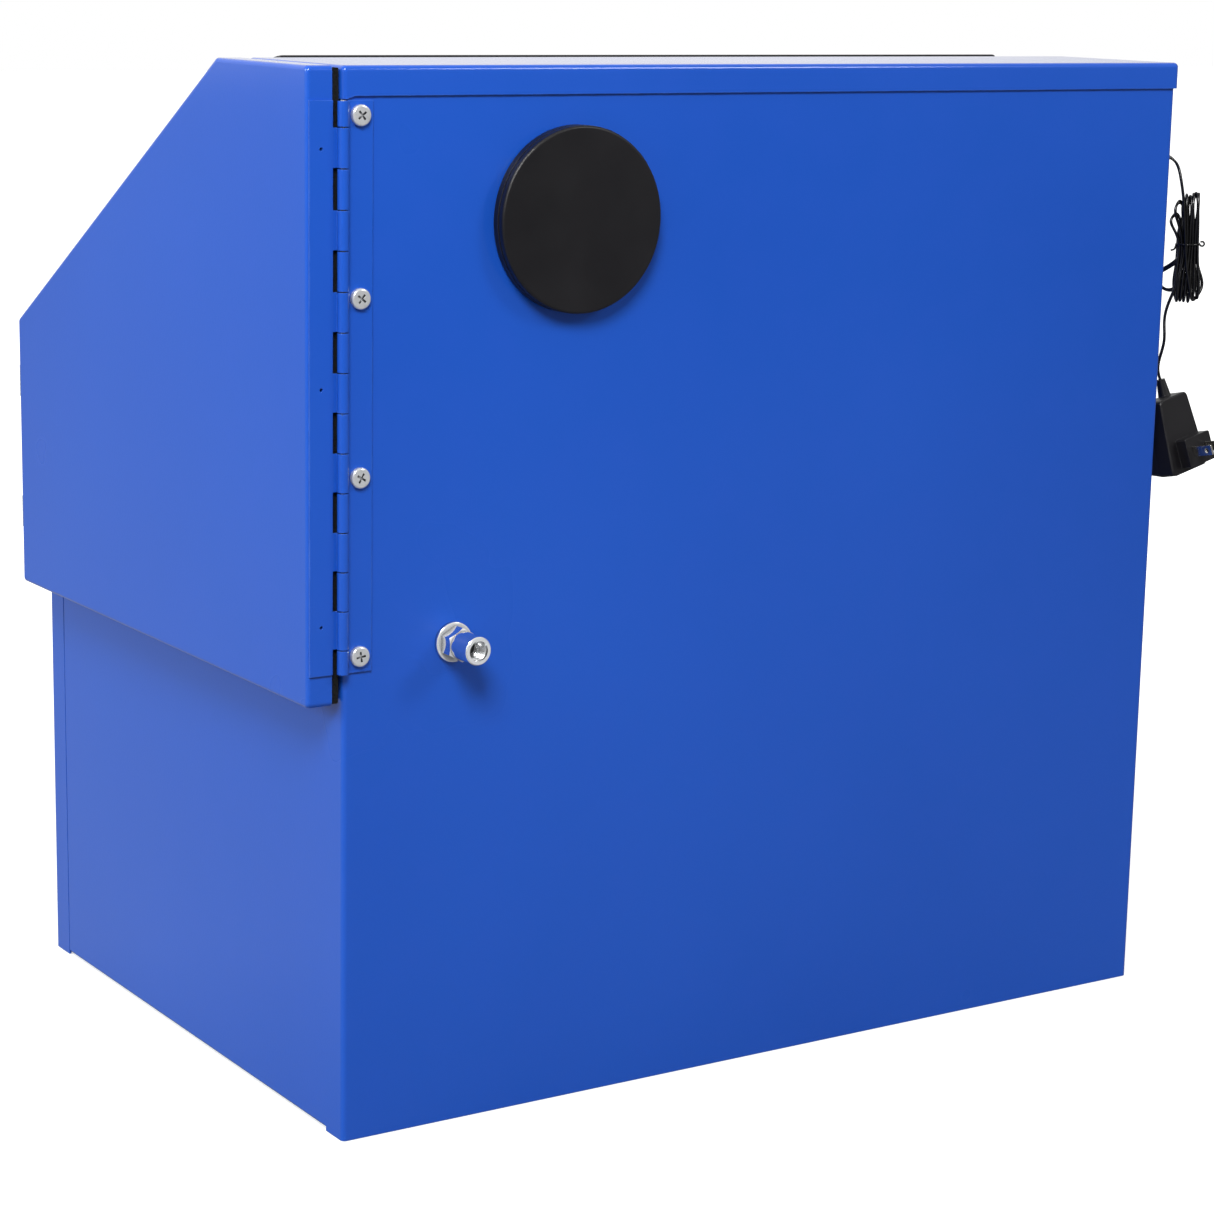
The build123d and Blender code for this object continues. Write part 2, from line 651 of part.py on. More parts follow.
def glove(x):
    """Rubber gauntlet: an open sleeve that narrows and droops to a hand resting just above the grate."""
    way = 1 if x > 0 else -1
    cuff_y = FRONT_Y + 8
    elbow_y = cuff_y + 30
    cuff_r = PORT_R + PORT_WALL + 3.1
    wall = 1.6
    stations = [
        (x, elbow_y, PORT_Z, cuff_r, 0),
        (x - way * 2, elbow_y + 48, PORT_Z - 7, 63, 12),
        (x - way * 5, elbow_y + 96, PORT_Z - 27, 45, 22),
        (x - way * 8, elbow_y + 136, PORT_Z - 46, 34, 20),
    ]

    def sleeve(inset):
        sections = []
        for sx, sy, sz, radius, dip in stations:
            droop = math.radians(dip)
            way_in = (0, math.cos(droop), -math.sin(droop))
            place = Plane(origin=(sx, sy, sz), x_dir=(1, 0, 0), z_dir=way_in)
            sections.append(place * Circle(radius - inset))
        return loft(sections, ruled=True)

    cuff = pipe((x, cuff_y, PORT_Z), (x, elbow_y, PORT_Z), cuff_r, cuff_r - wall)
    hand_x = x - way * 9
    palm = fillet(Box(80, 84, 34).edges(), 15)
    palm = Pos(hand_x, elbow_y + 172, PORT_Z - 59) * Rot(-12, 0, 0) * palm
    hand = palm
    for i, reach in enumerate((262, 270, 266, 250)):
        finger_x = hand_x + way * (i - 1.5) * 20
        tip = (finger_x, elbow_y + reach, HAND_Z)
        hand += capsule((finger_x, elbow_y + 196, HAND_Z + 6), tip, 11)
    thumb_x = hand_x - way * 38
    thumb_tip = (thumb_x - way * 12, elbow_y + 208, HAND_Z + 5)
    hand += capsule((thumb_x + way * 8, elbow_y + 160, HAND_Z + 10), thumb_tip, 12)
    return cuff + (sleeve(0) - sleeve(wall)) + hand


# ---------------------------------------------------------------- dust port


def vent_collar():
    """Short steel tube through the rear panel, flanged on the inside."""
    outer = VENT_R + VENT_WALL
    collar = pipe((VENT_X, REAR_Y - 12, VENT_Z), (VENT_X, REAR_Y + 8.5, VENT_Z), outer, VENT_R)
    flange_y = REAR_Y - SHEET - GAP
    flange = pipe((VENT_X, flange_y - SHEET, VENT_Z), (VENT_X, flange_y, VENT_Z), outer + 9, VENT_R)
    return collar + flange


def vent_cap():
    """Push-on plastic cap over the collar, with a groove round its edge."""
    face = REAR_Y + CAP_RISE
    back = REAR_Y + 1.2
    bore = VENT_R + VENT_WALL + 0.08
    cap = rod((VENT_X, back, VENT_Z), (VENT_X, face, VENT_Z), CAP_R)
    cap = fillet(cap.edges().group_by(Axis.Y)[-1], 1.6)
    groove_y = face - 4.2
    cap -= pipe((VENT_X, groove_y - 1.1, VENT_Z), (VENT_X, groove_y, VENT_Z), CAP_R + 1, CAP_R - 1.1)
    return cap - rod((VENT_X, back - 1, VENT_Z), (VENT_X, face - 2.3, VENT_Z), bore)


def vent_baffle():
    """Folded plate inside the dust port that turns the airflow and keeps the abrasive in."""
    half = 66.0
    depth = 34.0
    back_y = REAR_Y - SHEET - GAP
    walls = block(
        (VENT_X - half, VENT_X + half), (back_y - depth, back_y), (VENT_Z - half, VENT_Z + half)
    )
    inside = block(
        (VENT_X - half + SHEET, VENT_X + half - SHEET),
        (back_y - depth + SHEET, back_y + 1),
        (VENT_Z - half + SHEET, VENT_Z + half + 1),
    )
    return walls - inside


# ---------------------------------------------------------------- air supply


def inlet_fitting():
    """Bulkhead fitting: flange, hexagon and threaded mouth outside, stud and hose tail inside."""
    x, z = INLET_X, INLET_Z
    mouth = REAR_Y + INLET_REACH
    fitting = rod((x, REAR_Y, z), (x, REAR_Y + 2.6, z), 11.5)
    fitting = fillet(fitting.edges().group_by(Axis.Y)[-1], 0.8)
    hexagon = hex_bar((x, REAR_Y + 2, z), (x, REAR_Y + 12, z), 17)
    corner_cone = Cone(23.7, 8.7, 10.0, align=(Align.CENTER, Align.CENTER, Align.MIN))
    hexagon &= facing_rear(x, REAR_Y + 2, z) * corner_cone
    fitting += hexagon
    nose = rod((x, REAR_Y + 11, z), (x, mouth, z), 8.1)
    fitting += chamfer(nose.edges().group_by(Axis.Y)[-1], 0.6)
    fitting += rod((x, REAR_Y - 16, z), (x, REAR_Y + 1, z), INLET_STUD_R)
    fitting += rod((x, REAR_Y - 40, z), (x, REAR_Y - 15, z), 3.9)
    fitting -= rod((x, mouth - 16, z), (x, mouth + 1, z), INLET_R)
    return fitting - rod((x, REAR_Y - 45, z), (x, mouth, z), 2.6)


def inlet_locknut():
    """Hexagon nut that holds the fitting from inside."""
    x, z = INLET_X, INLET_Z
    inside = REAR_Y - SHEET - GAP
    nut = hex_bar((x, inside - 5, z), (x, inside, z), 19)
    return nut - rod((x, inside - 6, z), (x, inside + 1, z), INLET_STUD_R + 0.02)


def hose(points, radius, bore, start_way, end_way, overlap):
    """A hose through the points, bored at both ends to fit over its tails."""
    line = cord(points, radius, start_way, end_way, overlap)
    for spot, way in ((points[0], start_way), (points[-1], end_way)):
        spot = Vector(*spot)
        reach = Vector(*way).normalized() * overlap
        line -= rod(tuple(spot - reach), tuple(spot + reach), bore)
    return line


def air_hose():
    """Air hose from the inlet, across the back of the cabinet and forward to the gun's grip."""
    grip_end = (grip_place() * Pos(0, 0, -50)).position
    grip_way = (0, math.sin(math.radians(GRIP_LEAN)), math.cos(math.radians(GRIP_LEAN)))
    points = [
        (INLET_X, REAR_Y - 19, INLET_Z),
        (INLET_X - 26, 137, INLET_Z - 6),
        (INLET_X - 90, 128, INLET_Z - 18),
        (30, 130, 253),
        (-70, 128, 250),
        (-165, 108, 252),
        (-228, 48, 264),
        (GUN_X - 2, -16, 302),
        tuple(grip_end),
    ]
    return hose(points, 6.5, 4.0, (0, -1, 0), grip_way, 24)


def media_hose():
    """Suction hose from the pickup tube, up through the grate's notch to the gun."""
    start_way = tuple((Vector(*PICKUP_TOP) - Vector(*PICKUP_LOW)).normalized())
    points = [
        PICKUP_TOP,
        (-222, 150, 180),
        (-256, 171, 219),
        (-266, 172, 280),
        (-264, 140, 350),
        (GUN_X, GUN_Y + 50, GUN_Z - 42),
    ]
    return hose(points, 8.0, 6.1, start_way, MEDIA_INLET_WAY, 22)


def pickup_tube():
    """Steel tube that draws abrasive from the hopper floor."""
    way = (Vector(*PICKUP_TOP) - Vector(*PICKUP_LOW)).normalized()
    end = Vector(*PICKUP_TOP) + way * 14
    tube = pipe(PICKUP_LOW, tuple(end), 6.0, 4.6)
    return tube + pipe(PICKUP_LOW, tuple(Vector(*PICKUP_LOW) + way * 60), 9.5, 5.9)


# ---------------------------------------------------------------- blast gun


def grip_place():
    """The pistol grip's own place, its local Z running up the grip."""
    return Pos(GUN_X, GUN_Y - 26, GUN_Z - 56) * Rot(-GRIP_LEAN, 0, 0)


def gun_body():
    """Cast body: barrel, suction branch and pistol grip, with the hose tails."""
    x, y, z = GUN_X, GUN_Y, GUN_Z
    barrel = rod((x, y - 60, z), (x, y + 42, z), 14)
    barrel = fillet(barrel.edges().group_by(Axis.Y)[0], 4)
    barrel += rod((x, y + 42, z), (x, y + 56, z), 9.5)
    way = Vector(*MEDIA_INLET_WAY)
    branch_end = Vector(x, y + 50, GUN_Z - 42)
    branch_top = branch_end + way * 46
    branch = rod(tuple(branch_end + way * 12), tuple(branch_top), 9.5)
    branch += rod(tuple(branch_end - way * 12), tuple(branch_end + way * 14), 6.0)
    grip = Box(24, 30, 92)
    grip = fillet(grip.edges().filter_by(Axis.Z), 8)
    grip = grip_place() * grip
    tail = grip_place() * Pos(0, 0, -58) * Cylinder(3.9, 26)
    ears = block((x - 8, x + 8), (y + TRIGGER_Y - 7, y + TRIGGER_Y + 7), (TRIGGER_Z - 7, z))
    body = barrel + branch + grip + tail + ears
    body -= block((x - 4.4, x + 4.4), (y + TRIGGER_Y - 9, y + TRIGGER_Y + 9), (TRIGGER_Z - 9, z - 11))
    body -= rod((x - 20, y + TRIGGER_Y, TRIGGER_Z), (x + 20, y + TRIGGER_Y, TRIGGER_Z), 1.55)
    body -= rod((x, y - 30, VALVE_Z), (x, y + 10, VALVE_Z), VALVE_R + 0.05)
    return body - rod((x, y + 30, z), (x, y + 60, z), 7.05)


def gun_trigger():
    """Trigger lever, hung from its pin and curving down in front of the grip."""
    x, y = GUN_X, GUN_Y + TRIGGER_Y
    lever = block((x - 4, x + 4), (y - 4, y + 4), (TRIGGER_Z - 52, TRIGGER_Z))
    lever += rod((x - 4, y, TRIGGER_Z), (x + 4, y, TRIGGER_Z), 5)
    tip = Pos(x, y + 4, TRIGGER_Z - 60) * Rot(24, 0, 0) * Box(8, 8, 22)
    lever += tip
    return lever - rod((x - 20, y, TRIGGER_Z), (x + 20, y, TRIGGER_Z), 1.55)


def gun_trigger_pin():
    """Cross pin that the trigger turns on."""
    y = GUN_Y + TRIGGER_Y
    pin = rod((GUN_X - 8.5, y, TRIGGER_Z), (GUN_X + 8.5, y, TRIGGER_Z), 1.5)
    for way in (-1, 1):
        low = GUN_X + way * 8.3
        pin += rod((low, y, TRIGGER_Z), (low + way * 1.2, y, TRIGGER_Z), 3)
    return pin


def gun_valve_stem():
    """Valve stem that the trigger pushes back into the grip."""
    return rod((GUN_X, GUN_Y - 18, VALVE_Z), (GUN_X, GUN_Y + TRIGGER_Y - 4.2, VALVE_Z), VALVE_R)


def gun_nozzle():
    """Ceramic nozzle seated in the barrel."""
    y = GUN_Y
    outer = rod((GUN_X, y + 31, GUN_Z), (GUN_X, y + 86, GUN_Z), 7.0)
    outer = fillet(outer.edges().group_by(Axis.Y)[-1], 1.2)
    return outer - rod((GUN_X, y + 30, GUN_Z), (GUN_X, y + 90, GUN_Z), 3.0)


def gun_nozzle_nut():
    """Knurled nut that clamps the nozzle."""
    y = GUN_Y
    ring = pipe((GUN_X, y + 42.1, GUN_Z), (GUN_X, y + 62, GUN_Z), 13, 9.6)
    ring += pipe((GUN_X, y + 58, GUN_Z), (GUN_X, y + 62, GUN_Z), 13, 7.1)
    grooves = Sketch() + PolarLocations(13.2, 24) * Circle(0.7)
    face = Plane(origin=(GUN_X, y + 44, GUN_Z), z_dir=(0, 1, 0))
    return ring - extrude(face * grooves, amount=14)


def gun_hook():
    """Bent wall bracket that the back of the gun's barrel hangs in."""
    wall = -SIDE_X + 2 * SHEET + GAP
    strip_y = (GUN_Y - 56, GUN_Y - 42)
    seat = GUN_Z - 14.3
    back = block((wall, wall + 2), strip_y, (seat - 2, seat + 36))
    shelf = block((wall, GUN_X + 17), strip_y, (seat - 2, seat))
    lip = block((GUN_X + 15, GUN_X + 17), strip_y, (seat - 2, seat + 18))
    return back + shelf + lip


# ---------------------------------------------------------------- light and power


def light_housing():
    """Channel-shaped lamp body under the roof."""
    housing = block((-150, 150), (LIGHT_Y - 22, LIGHT_Y + 22), (573, HEIGHT - SHEET - GAP))
    housing = fillet(housing.edges().filter_by(Axis.X).group_by(Axis.Z)[0], 6)
    return housing - block((-146, 146), (LIGHT_Y - 17, LIGHT_Y + 17), (570, 590))


def light_lens():
    """Frosted strip that covers the lamp."""
    lens = block((-145.8, 145.8), (LIGHT_Y - 16.8, LIGHT_Y + 16.8), (571, 577))
    return fillet(lens.edges().filter_by(Axis.X).group_by(Axis.Z)[0], 3)


def light_wiring():
    """Cables inside the cabinet, from the lamp to the cord grommet and from the lamp to the switch."""
    to_grommet = [
        (-150.2, LIGHT_Y, 590),
        (-205, LIGHT_Y + 8, 588),
        (-258, GROMMET_Y - 8, 574),
        (-276, GROMMET_Y, 553),
        (-SIDE_X + 2 * SHEET + 3, GROMMET_Y, GROMMET_Z),
    ]
    to_switch = [
        (-150.2, LIGHT_Y - 14, 588),
        (-215, 84, 578),
        (-272, 20, 545),
        (-284, -60, 485),
        (-283, -130, 420),
        (-266, -166, 388),
        (SWITCH_X, FRONT_Y + 18.8, SWITCH_Z),
    ]
    cables = [
        cord(to_grommet, 1.9, (-1, 0, 0), (-1, 0, -0.3), 5.0),
        cord(to_switch, 1.9, (-1, 0, 0), (0, -1, 0)),
    ]
    return Compound(children=cables)


def cord_grommet():
    """Rubber ring that the power cord passes through."""
    y, z = GROMMET_Y, GROMMET_Z
    face = -SIDE_X + SHEET + GAP
    ring = rod((face - 3, y, z), (face, y, z), GROMMET_R + 3)
    ring = fillet(ring.edges().group_by(Axis.X)[0], 1.2)
    ring += rod((face, y, z), (face + SHEET, y, z), GROMMET_R)
    ring += rod((face + SHEET, y, z), (face + SHEET + 1.5, y, z), GROMMET_R + 2)
    ring -= rod((face - 5, y, z), (face + 9, y, z), 2.4)
    return ring


def power_cord():
    """Cord outside the cabinet, from the grommet into the hank and from the hank to the adapter."""
    x, y, z = HANK
    face = -SIDE_X + SHEET + GAP
    boot_top = (adapter_place() * Pos(*ADAPTER_BOOT, 36.6)).position
    boot_foot = (adapter_place() * Pos(*ADAPTER_BOOT, 0)).position
    upper = [
        (face - 1, GROMMET_Y, GROMMET_Z),
        (face - 13, GROMMET_Y + 11, GROMMET_Z - 7),
        (x + 4, y + 1, z + 36.2),
    ]
    lower = [
        (x + 5, y - 2, z - 36.2),
        (x + 12, y - 4, z - 60),
        tuple(boot_top),
    ]
    cords = [
        cord(upper, 1.9, (-1, 0, 0), (-0.5, 0, -1), 4.0),
        cord(lower, 1.9, (0.4, 0, -1), tuple(boot_foot - boot_top), 6.0),
    ]
    return Compound(children=cords)


def cord_hank():
    """Folded hank of spare cord, held by its tie."""
    hank = Pos(*HANK) * Cylinder(HANK_R, 70)
    return fillet(hank.edges(), 6)


def adapter_place():
    """The adapter's own place: local X runs across its plug face and local Y points out of it."""
    return Pos(*ADAPTER) * Rot(0, 0, ADAPTER_TURN) * Rot(ADAPTER_PITCH, 0, 0) * Rot(0, ADAPTER_ROLL, 0)


def adapter_case():
    """Plug-in power adapter: a two-part tapered case with a raised plug pad and a cord boot on top."""
    outline = Polygon((-17.5, -25), (17.5, -25), (13.5, 25), (-13.5, 25), align=None)
    outline = fillet(outline.vertices(), 3.5)
    case = extrude(Plane.XZ * outline, amount=12)
    case = chamfer(case.edges().group_by(Axis.Y)[-1], 0.8)
    case += extrude(Plane.XZ.offset(12) * outline, amount=14, taper=10)
    pad = Pos(ADAPTER_PAD[0], PAD_RISE / 2 - 0.5, ADAPTER_PAD[1]) * Box(24.2, PAD_RISE + 1, 19)
    pad = fillet(pad.edges().filter_by(Axis.Y), 1.5)
    boot = Cone(4.2, 2.8, 11.5, align=(Align.CENTER, Align.CENTER, Align.MIN))
    boot = Pos(*ADAPTER_BOOT, 24.5) * boot
    return adapter_place() * (case + pad + boot)


def adapter_blades():
    """Two flat mains blades with a hole in each."""
    reach = 16.0
    start = PAD_RISE + GAP
    blades = []
    for way in (-1, 1):
        x = ADAPTER_PAD[0] + way * 6.35
        blade = Pos(x, start + reach / 2, ADAPTER_PAD[1]) * Box(1.5, reach, 6.35)
        blade = chamfer(blade.edges().group_by(Axis.Y)[-1].filter_by(Axis.Z), 0.5)
        hole = Pos(x, start + reach - 4.5, ADAPTER_PAD[1]) * Rot(0, 90, 0) * Cylinder(1.6, 4)
        blades.append(adapter_place() * (blade - hole))
    return Compound(children=blades)


def switch_housing():
    """Rocker switch body clipped into the front panel."""
    bezel = block(
        (SWITCH_X - SWITCH_W / 2 - 2, SWITCH_X + SWITCH_W / 2 + 2),
        (FRONT_Y - 2.2, FRONT_Y - GAP),
        (SWITCH_Z - SWITCH_H / 2 - 2, SWITCH_Z + SWITCH_H / 2 + 2),
    )
    bezel = fillet(bezel.edges().filter_by(Axis.Y), 2)
    barrel = block(
        (SWITCH_X - SWITCH_W / 2, SWITCH_X + SWITCH_W / 2),
        (FRONT_Y - GAP, FRONT_Y + 18),
        (SWITCH_Z - SWITCH_H / 2, SWITCH_Z + SWITCH_H / 2),
    )
    well = block(
        (SWITCH_X - 4.7, SWITCH_X + 4.7), (FRONT_Y - 3, FRONT_Y + 10), (SWITCH_Z - 8.2, SWITCH_Z + 8.2)
    )
    return bezel + barrel - well


def switch_rocker():
    """Rocker key, shown switched off."""
    arc_r = 18.0
    axle_y = FRONT_Y + 2
    hollow_y = FRONT_Y - 3 - arc_r
    key = rod((SWITCH_X - 4.4, axle_y, SWITCH_Z), (SWITCH_X + 4.4, axle_y, SWITCH_Z), 7.4)
    hollow = rod((SWITCH_X - 5, hollow_y, SWITCH_Z), (SWITCH_X + 5, hollow_y, SWITCH_Z), arc_r)
    tilt = Pos(SWITCH_X, FRONT_Y + 2, SWITCH_Z) * Rot(8, 0, 0) * Pos(-SWITCH_X, -FRONT_Y - 2, -SWITCH_Z)
    return tilt * (key - hollow)


PARTS = {
    "rear_panel": rear_panel,
    "front_panel": front_panel,
    "left_side_panel": left_side_panel,
    "right_side_panel": right_side_panel,
    "top_cover": top_cover,
    "base_pan": base_pan,
    "hopper": hopper,
    "grate_rails": grate_rails,
    "work_grate": work_grate,
    "hinge_leaf_body": hinge_leaf_body,
    "hinge_leaf_door": hinge_leaf_door,
    "hinge_pin": hinge_pin,
    "hinge_screws": hinge_screws,
    "hinge_nuts": hinge_nuts,
    "door_panel": door_panel,
    "door_gasket": door_gasket,
    "latch_bases": latch_bases,
    "latch_lever_upper": lambda: latch_lever(LATCH_Z[0]),
    "latch_lever_lower": lambda: latch_lever(LATCH_Z[1]),
    "latch_bail_upper": lambda: latch_bail(LATCH_Z[0]),
    "latch_bail_lower": lambda: latch_bail(LATCH_Z[1]),
    "latch_keepers": latch_keepers,
    "window_gasket": window_gasket,
    "window_glass": window_glass,
    "window_frame": window_frame,
    "window_screws": window_screws,
    "glove_port_left": lambda: glove_port(-PORT_X),
    "glove_port_right": lambda: glove_port(PORT_X),
    "glove_clamp_left": lambda: glove_clamp(-PORT_X),
    "glove_clamp_right": lambda: glove_clamp(PORT_X),
    "glove_left": lambda: glove(-PORT_X),
    "glove_right": lambda: mirror(glove(-PORT_X), about=Plane.YZ),
    "vent_collar": vent_collar,
    "vent_cap": vent_cap,
    "vent_baffle": vent_baffle,
    "inlet_fitting": inlet_fitting,
    "inlet_locknut": inlet_locknut,
    "air_hose": air_hose,
    "media_hose": media_hose,
    "pickup_tube": pickup_tube,
    "gun_body": gun_body,
    "gun_trigger": gun_trigger,
    "gun_trigger_pin": gun_trigger_pin,
    "gun_valve_stem": gun_valve_stem,
    "gun_nozzle": gun_nozzle,
    "gun_nozzle_nut": gun_nozzle_nut,
    "gun_hook": gun_hook,
    "light_housing": light_housing,
    "light_lens": light_lens,
    "light_wiring": light_wiring,
    "cord_grommet": cord_grommet,
    "power_cord": power_cord,
    "cord_hank": cord_hank,
    "adapter_case": adapter_case,
    "adapter_blades": adapter_blades,
    "switch_housing": switch_housing,
    "switch_rocker": switch_rocker,
}

os.makedirs("parts", exist_ok=True)
for node, build in PARTS.items():
    export_step(build(), os.path.join("parts", node + ".step"))
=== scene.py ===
import json
import math
import random

import bmesh
import bpy
import numpy as np
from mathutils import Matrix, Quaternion, Vector, noise


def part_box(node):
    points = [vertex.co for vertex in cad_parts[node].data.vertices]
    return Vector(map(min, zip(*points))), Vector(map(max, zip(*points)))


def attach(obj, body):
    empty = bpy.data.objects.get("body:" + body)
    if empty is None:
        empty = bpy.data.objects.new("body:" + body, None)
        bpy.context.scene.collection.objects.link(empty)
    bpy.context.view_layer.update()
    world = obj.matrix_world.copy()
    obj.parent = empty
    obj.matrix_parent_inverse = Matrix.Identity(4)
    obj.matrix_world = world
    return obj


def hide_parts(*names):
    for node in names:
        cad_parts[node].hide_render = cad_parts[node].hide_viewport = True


# The looks of a benchtop abrasive blast cabinet: materials for the CAD nodes, soft goods and cords in
# place of their plain CAD solids, small fittings, and a studio with a pale floor.
# Metres, in the CAD's own frame: +Z up, -Y the operator's side, +X the door side.

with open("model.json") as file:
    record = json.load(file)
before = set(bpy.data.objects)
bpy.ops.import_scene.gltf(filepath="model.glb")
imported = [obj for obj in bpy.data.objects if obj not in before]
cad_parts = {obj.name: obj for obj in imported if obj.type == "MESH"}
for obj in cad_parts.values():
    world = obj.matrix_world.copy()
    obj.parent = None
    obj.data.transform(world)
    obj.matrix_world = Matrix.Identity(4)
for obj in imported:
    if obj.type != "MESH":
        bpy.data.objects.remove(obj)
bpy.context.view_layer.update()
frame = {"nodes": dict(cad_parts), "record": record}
scene = bpy.context.scene
MM = 0.001
NOISE_SEED = 7

noise.seed_set(NOISE_SEED)


def mm(x, y, z):
    """A point given in millimetres."""
    return Vector((x, y, z)) * MM


# ---------------------------------------------------------------- shader helpers


class Shader:
    """One material and the few node recipes that the finishes here are built from."""

    def __init__(self, name, colour=(0.5, 0.5, 0.5), roughness=0.5, metallic=0.0, **extra):
        self.material = bpy.data.materials.new(name)
        self.material.use_nodes = True
        self.tree = self.material.node_tree
        self.principled = self.tree.nodes["Principled BSDF"]
        self.where = self.add("ShaderNodeTexCoord").outputs["Object"]
        self.set("Base Color", (*colour, 1))
        self.set("Roughness", roughness)
        self.set("Metallic", metallic)
        for socket, value in extra.items():
            self.set(socket.replace("_", " "), value)

    def add(self, kind, inputs=None, **settings):
        node = self.tree.nodes.new(kind)
        for key, value in settings.items():
            setattr(node, key, value)
        for key, value in (inputs or {}).items():
            self.feed(node.inputs[key], value)
        return node

    def feed(self, socket, value):
        if isinstance(value, bpy.types.NodeSocket):
            self.tree.links.new(value, socket)
        else:
            socket.default_value = value

    def set(self, socket, value):
        self.feed(self.principled.inputs[socket], value)

    def stretch(self, x, y, z):
        """Object coordinates scaled by axis, for streaks and brushed lines."""
        node = self.add("ShaderNodeMapping", {"Vector": self.where, "Scale": (x, y, z)})
        return node.outputs["Vector"]

    def noise(self, scale, detail=2.0, rough=0.5, where=None, bend=0.0):
        inputs = {"Vector": where or self.where, "Scale": scale, "Detail": detail}
        inputs.update({"Roughness": rough, "Distortion": bend})
        return self.add("ShaderNodeTexNoise", inputs).outputs["Fac"]

    def cells(self, scale, output="Distance", feature="F1", where=None):
        inputs = {"Vector": where or self.where, "Scale": scale}
        return self.add("ShaderNodeTexVoronoi", inputs, feature=feature).outputs[output]

    def sum(self, a, b, operation="ADD"):
        return self.add("ShaderNodeMath", {0: a, 1: b}, operation=operation).outputs[0]

    def times(self, a, b):
        return self.sum(a, b, "MULTIPLY")

    def span(self, value, low, high, to_low=0.0, to_high=1.0):
        """Maps a value from one range to another, without going past its ends."""
        inputs = {"Value": value, "From Min": low, "From Max": high, "To Min": to_low, "To Max": to_high}
        return self.add("ShaderNodeMapRange", inputs).outputs["Result"]

    def mix(self, share, a, b):
        node = self.add("ShaderNodeMix", data_type="RGBA")
        sockets = {s.identifier: s for s in node.inputs}
        for key, value in (("Factor_Float", share), ("A_Color", a), ("B_Color", b)):
            if isinstance(value, tuple) and len(value) == 3:
                value = (*value, 1)
            self.feed(sockets[key], value)
        return next(s for s in node.outputs if s.identifier == "Result_Color")

    def axis(self, name):
        return self.add("ShaderNodeSeparateXYZ", {0: self.where}).outputs[name]

    def worn_and_highlit_edge(self, radius, low=0.02, high=0.16):
        """1 on edges sharper than about the radius, 0 on flats: a mask for wear, and for painted edge
        highlights.
        """
        soft = self.add("ShaderNodeBevel", {"Radius": radius}, samples=3).outputs["Normal"]
        true = self.add("ShaderNodeNewGeometry").outputs["Normal"]
        dot = self.add("ShaderNodeVectorMath", {0: soft, 1: true}, operation="DOT_PRODUCT").outputs["Value"]
        return self.span(self.sum(1.0, dot, "SUBTRACT"), low, high)

    def bumps(self, *layers, soften=0.0):
        """Adds bump layers, each (height, depth in metres). soften rounds sharp edges by that radius."""
        normal = None
        if soften:
            normal = self.add("ShaderNodeBevel", {"Radius": soften}, samples=4).outputs["Normal"]
        for height, depth in layers:
            inputs = {"Height": height, "Distance": depth, "Strength": 1.0}
            if normal:
                inputs["Normal"] = normal
            normal = self.add("ShaderNodeBump", inputs).outputs["Normal"]
        self.set("Normal", normal)


# ---------------------------------------------------------------- finishes


def powder_coat(name, dusty=0.0):
    """Glossy blue powder coat: orange peel, uneven film, faint rubs and a painted highlight on the folds,
    dust settled low inside.
    """
    gloss = {"Coat_Weight": 1.0, "Coat_Roughness": 0.09, "Coat_IOR": 1.42}
    s = Shader(name, roughness=0.3, Specular_IOR_Level=0.1, **gloss)
    film = s.noise(2.6, 2)
    colour = s.mix(s.span(film, 0.3, 0.7), (0.009, 0.078, 0.465), (0.012, 0.090, 0.515))
    mottle = s.span(s.noise(46, 3), 0.35, 0.75)
    colour = s.mix(s.times(mottle, 0.18), colour, (0.018, 0.085, 0.52))
    # Paler blue on the folds and edges: partly rubbed coat, partly a painted highlight.
    edge = s.worn_and_highlit_edge(0.0011)
    patchy = s.span(s.noise(70, 3), 0.42, 0.62)
    colour = s.mix(s.times(s.times(edge, patchy), 0.4), colour, (0.07, 0.19, 0.66))
    specks = s.span(s.cells(240), 0.035, 0.06, 1.0, 0.0)
    rare = s.span(s.noise(24, 1), 0.66, 0.7)
    colour = s.mix(s.times(s.times(specks, rare), 0.35), colour, (0.004, 0.02, 0.16))
    rough = s.span(s.noise(7, 3), 0.3, 0.7, 0.27, 0.35)
    if dusty:
        low = s.span(s.axis("Z"), 0.02, 0.5, 1.0, 0.25)
        drift = s.span(s.noise(14, 5, 0.65), 0.36, 0.72)
        dust = s.times(s.times(low, drift), dusty)
        colour = s.mix(dust, colour, (0.30, 0.28, 0.26))
        rough = s.sum(rough, s.times(dust, 0.45))
    s.set("Base Color", colour)
    s.set("Roughness", rough)
    s.bumps((s.noise(560, 2), 0.000035), (s.noise(2400, 1), 0.000008), soften=0.0006)
    s.set("Coat Normal", s.add("ShaderNodeBump", {
        "Height": s.noise(420, 2), "Distance": 0.000012, "Strength": 1.0,
        "Normal": s.add("ShaderNodeBevel", {"Radius": 0.0006}, samples=4).outputs["Normal"],
    }).outputs["Normal"])
    return s.material


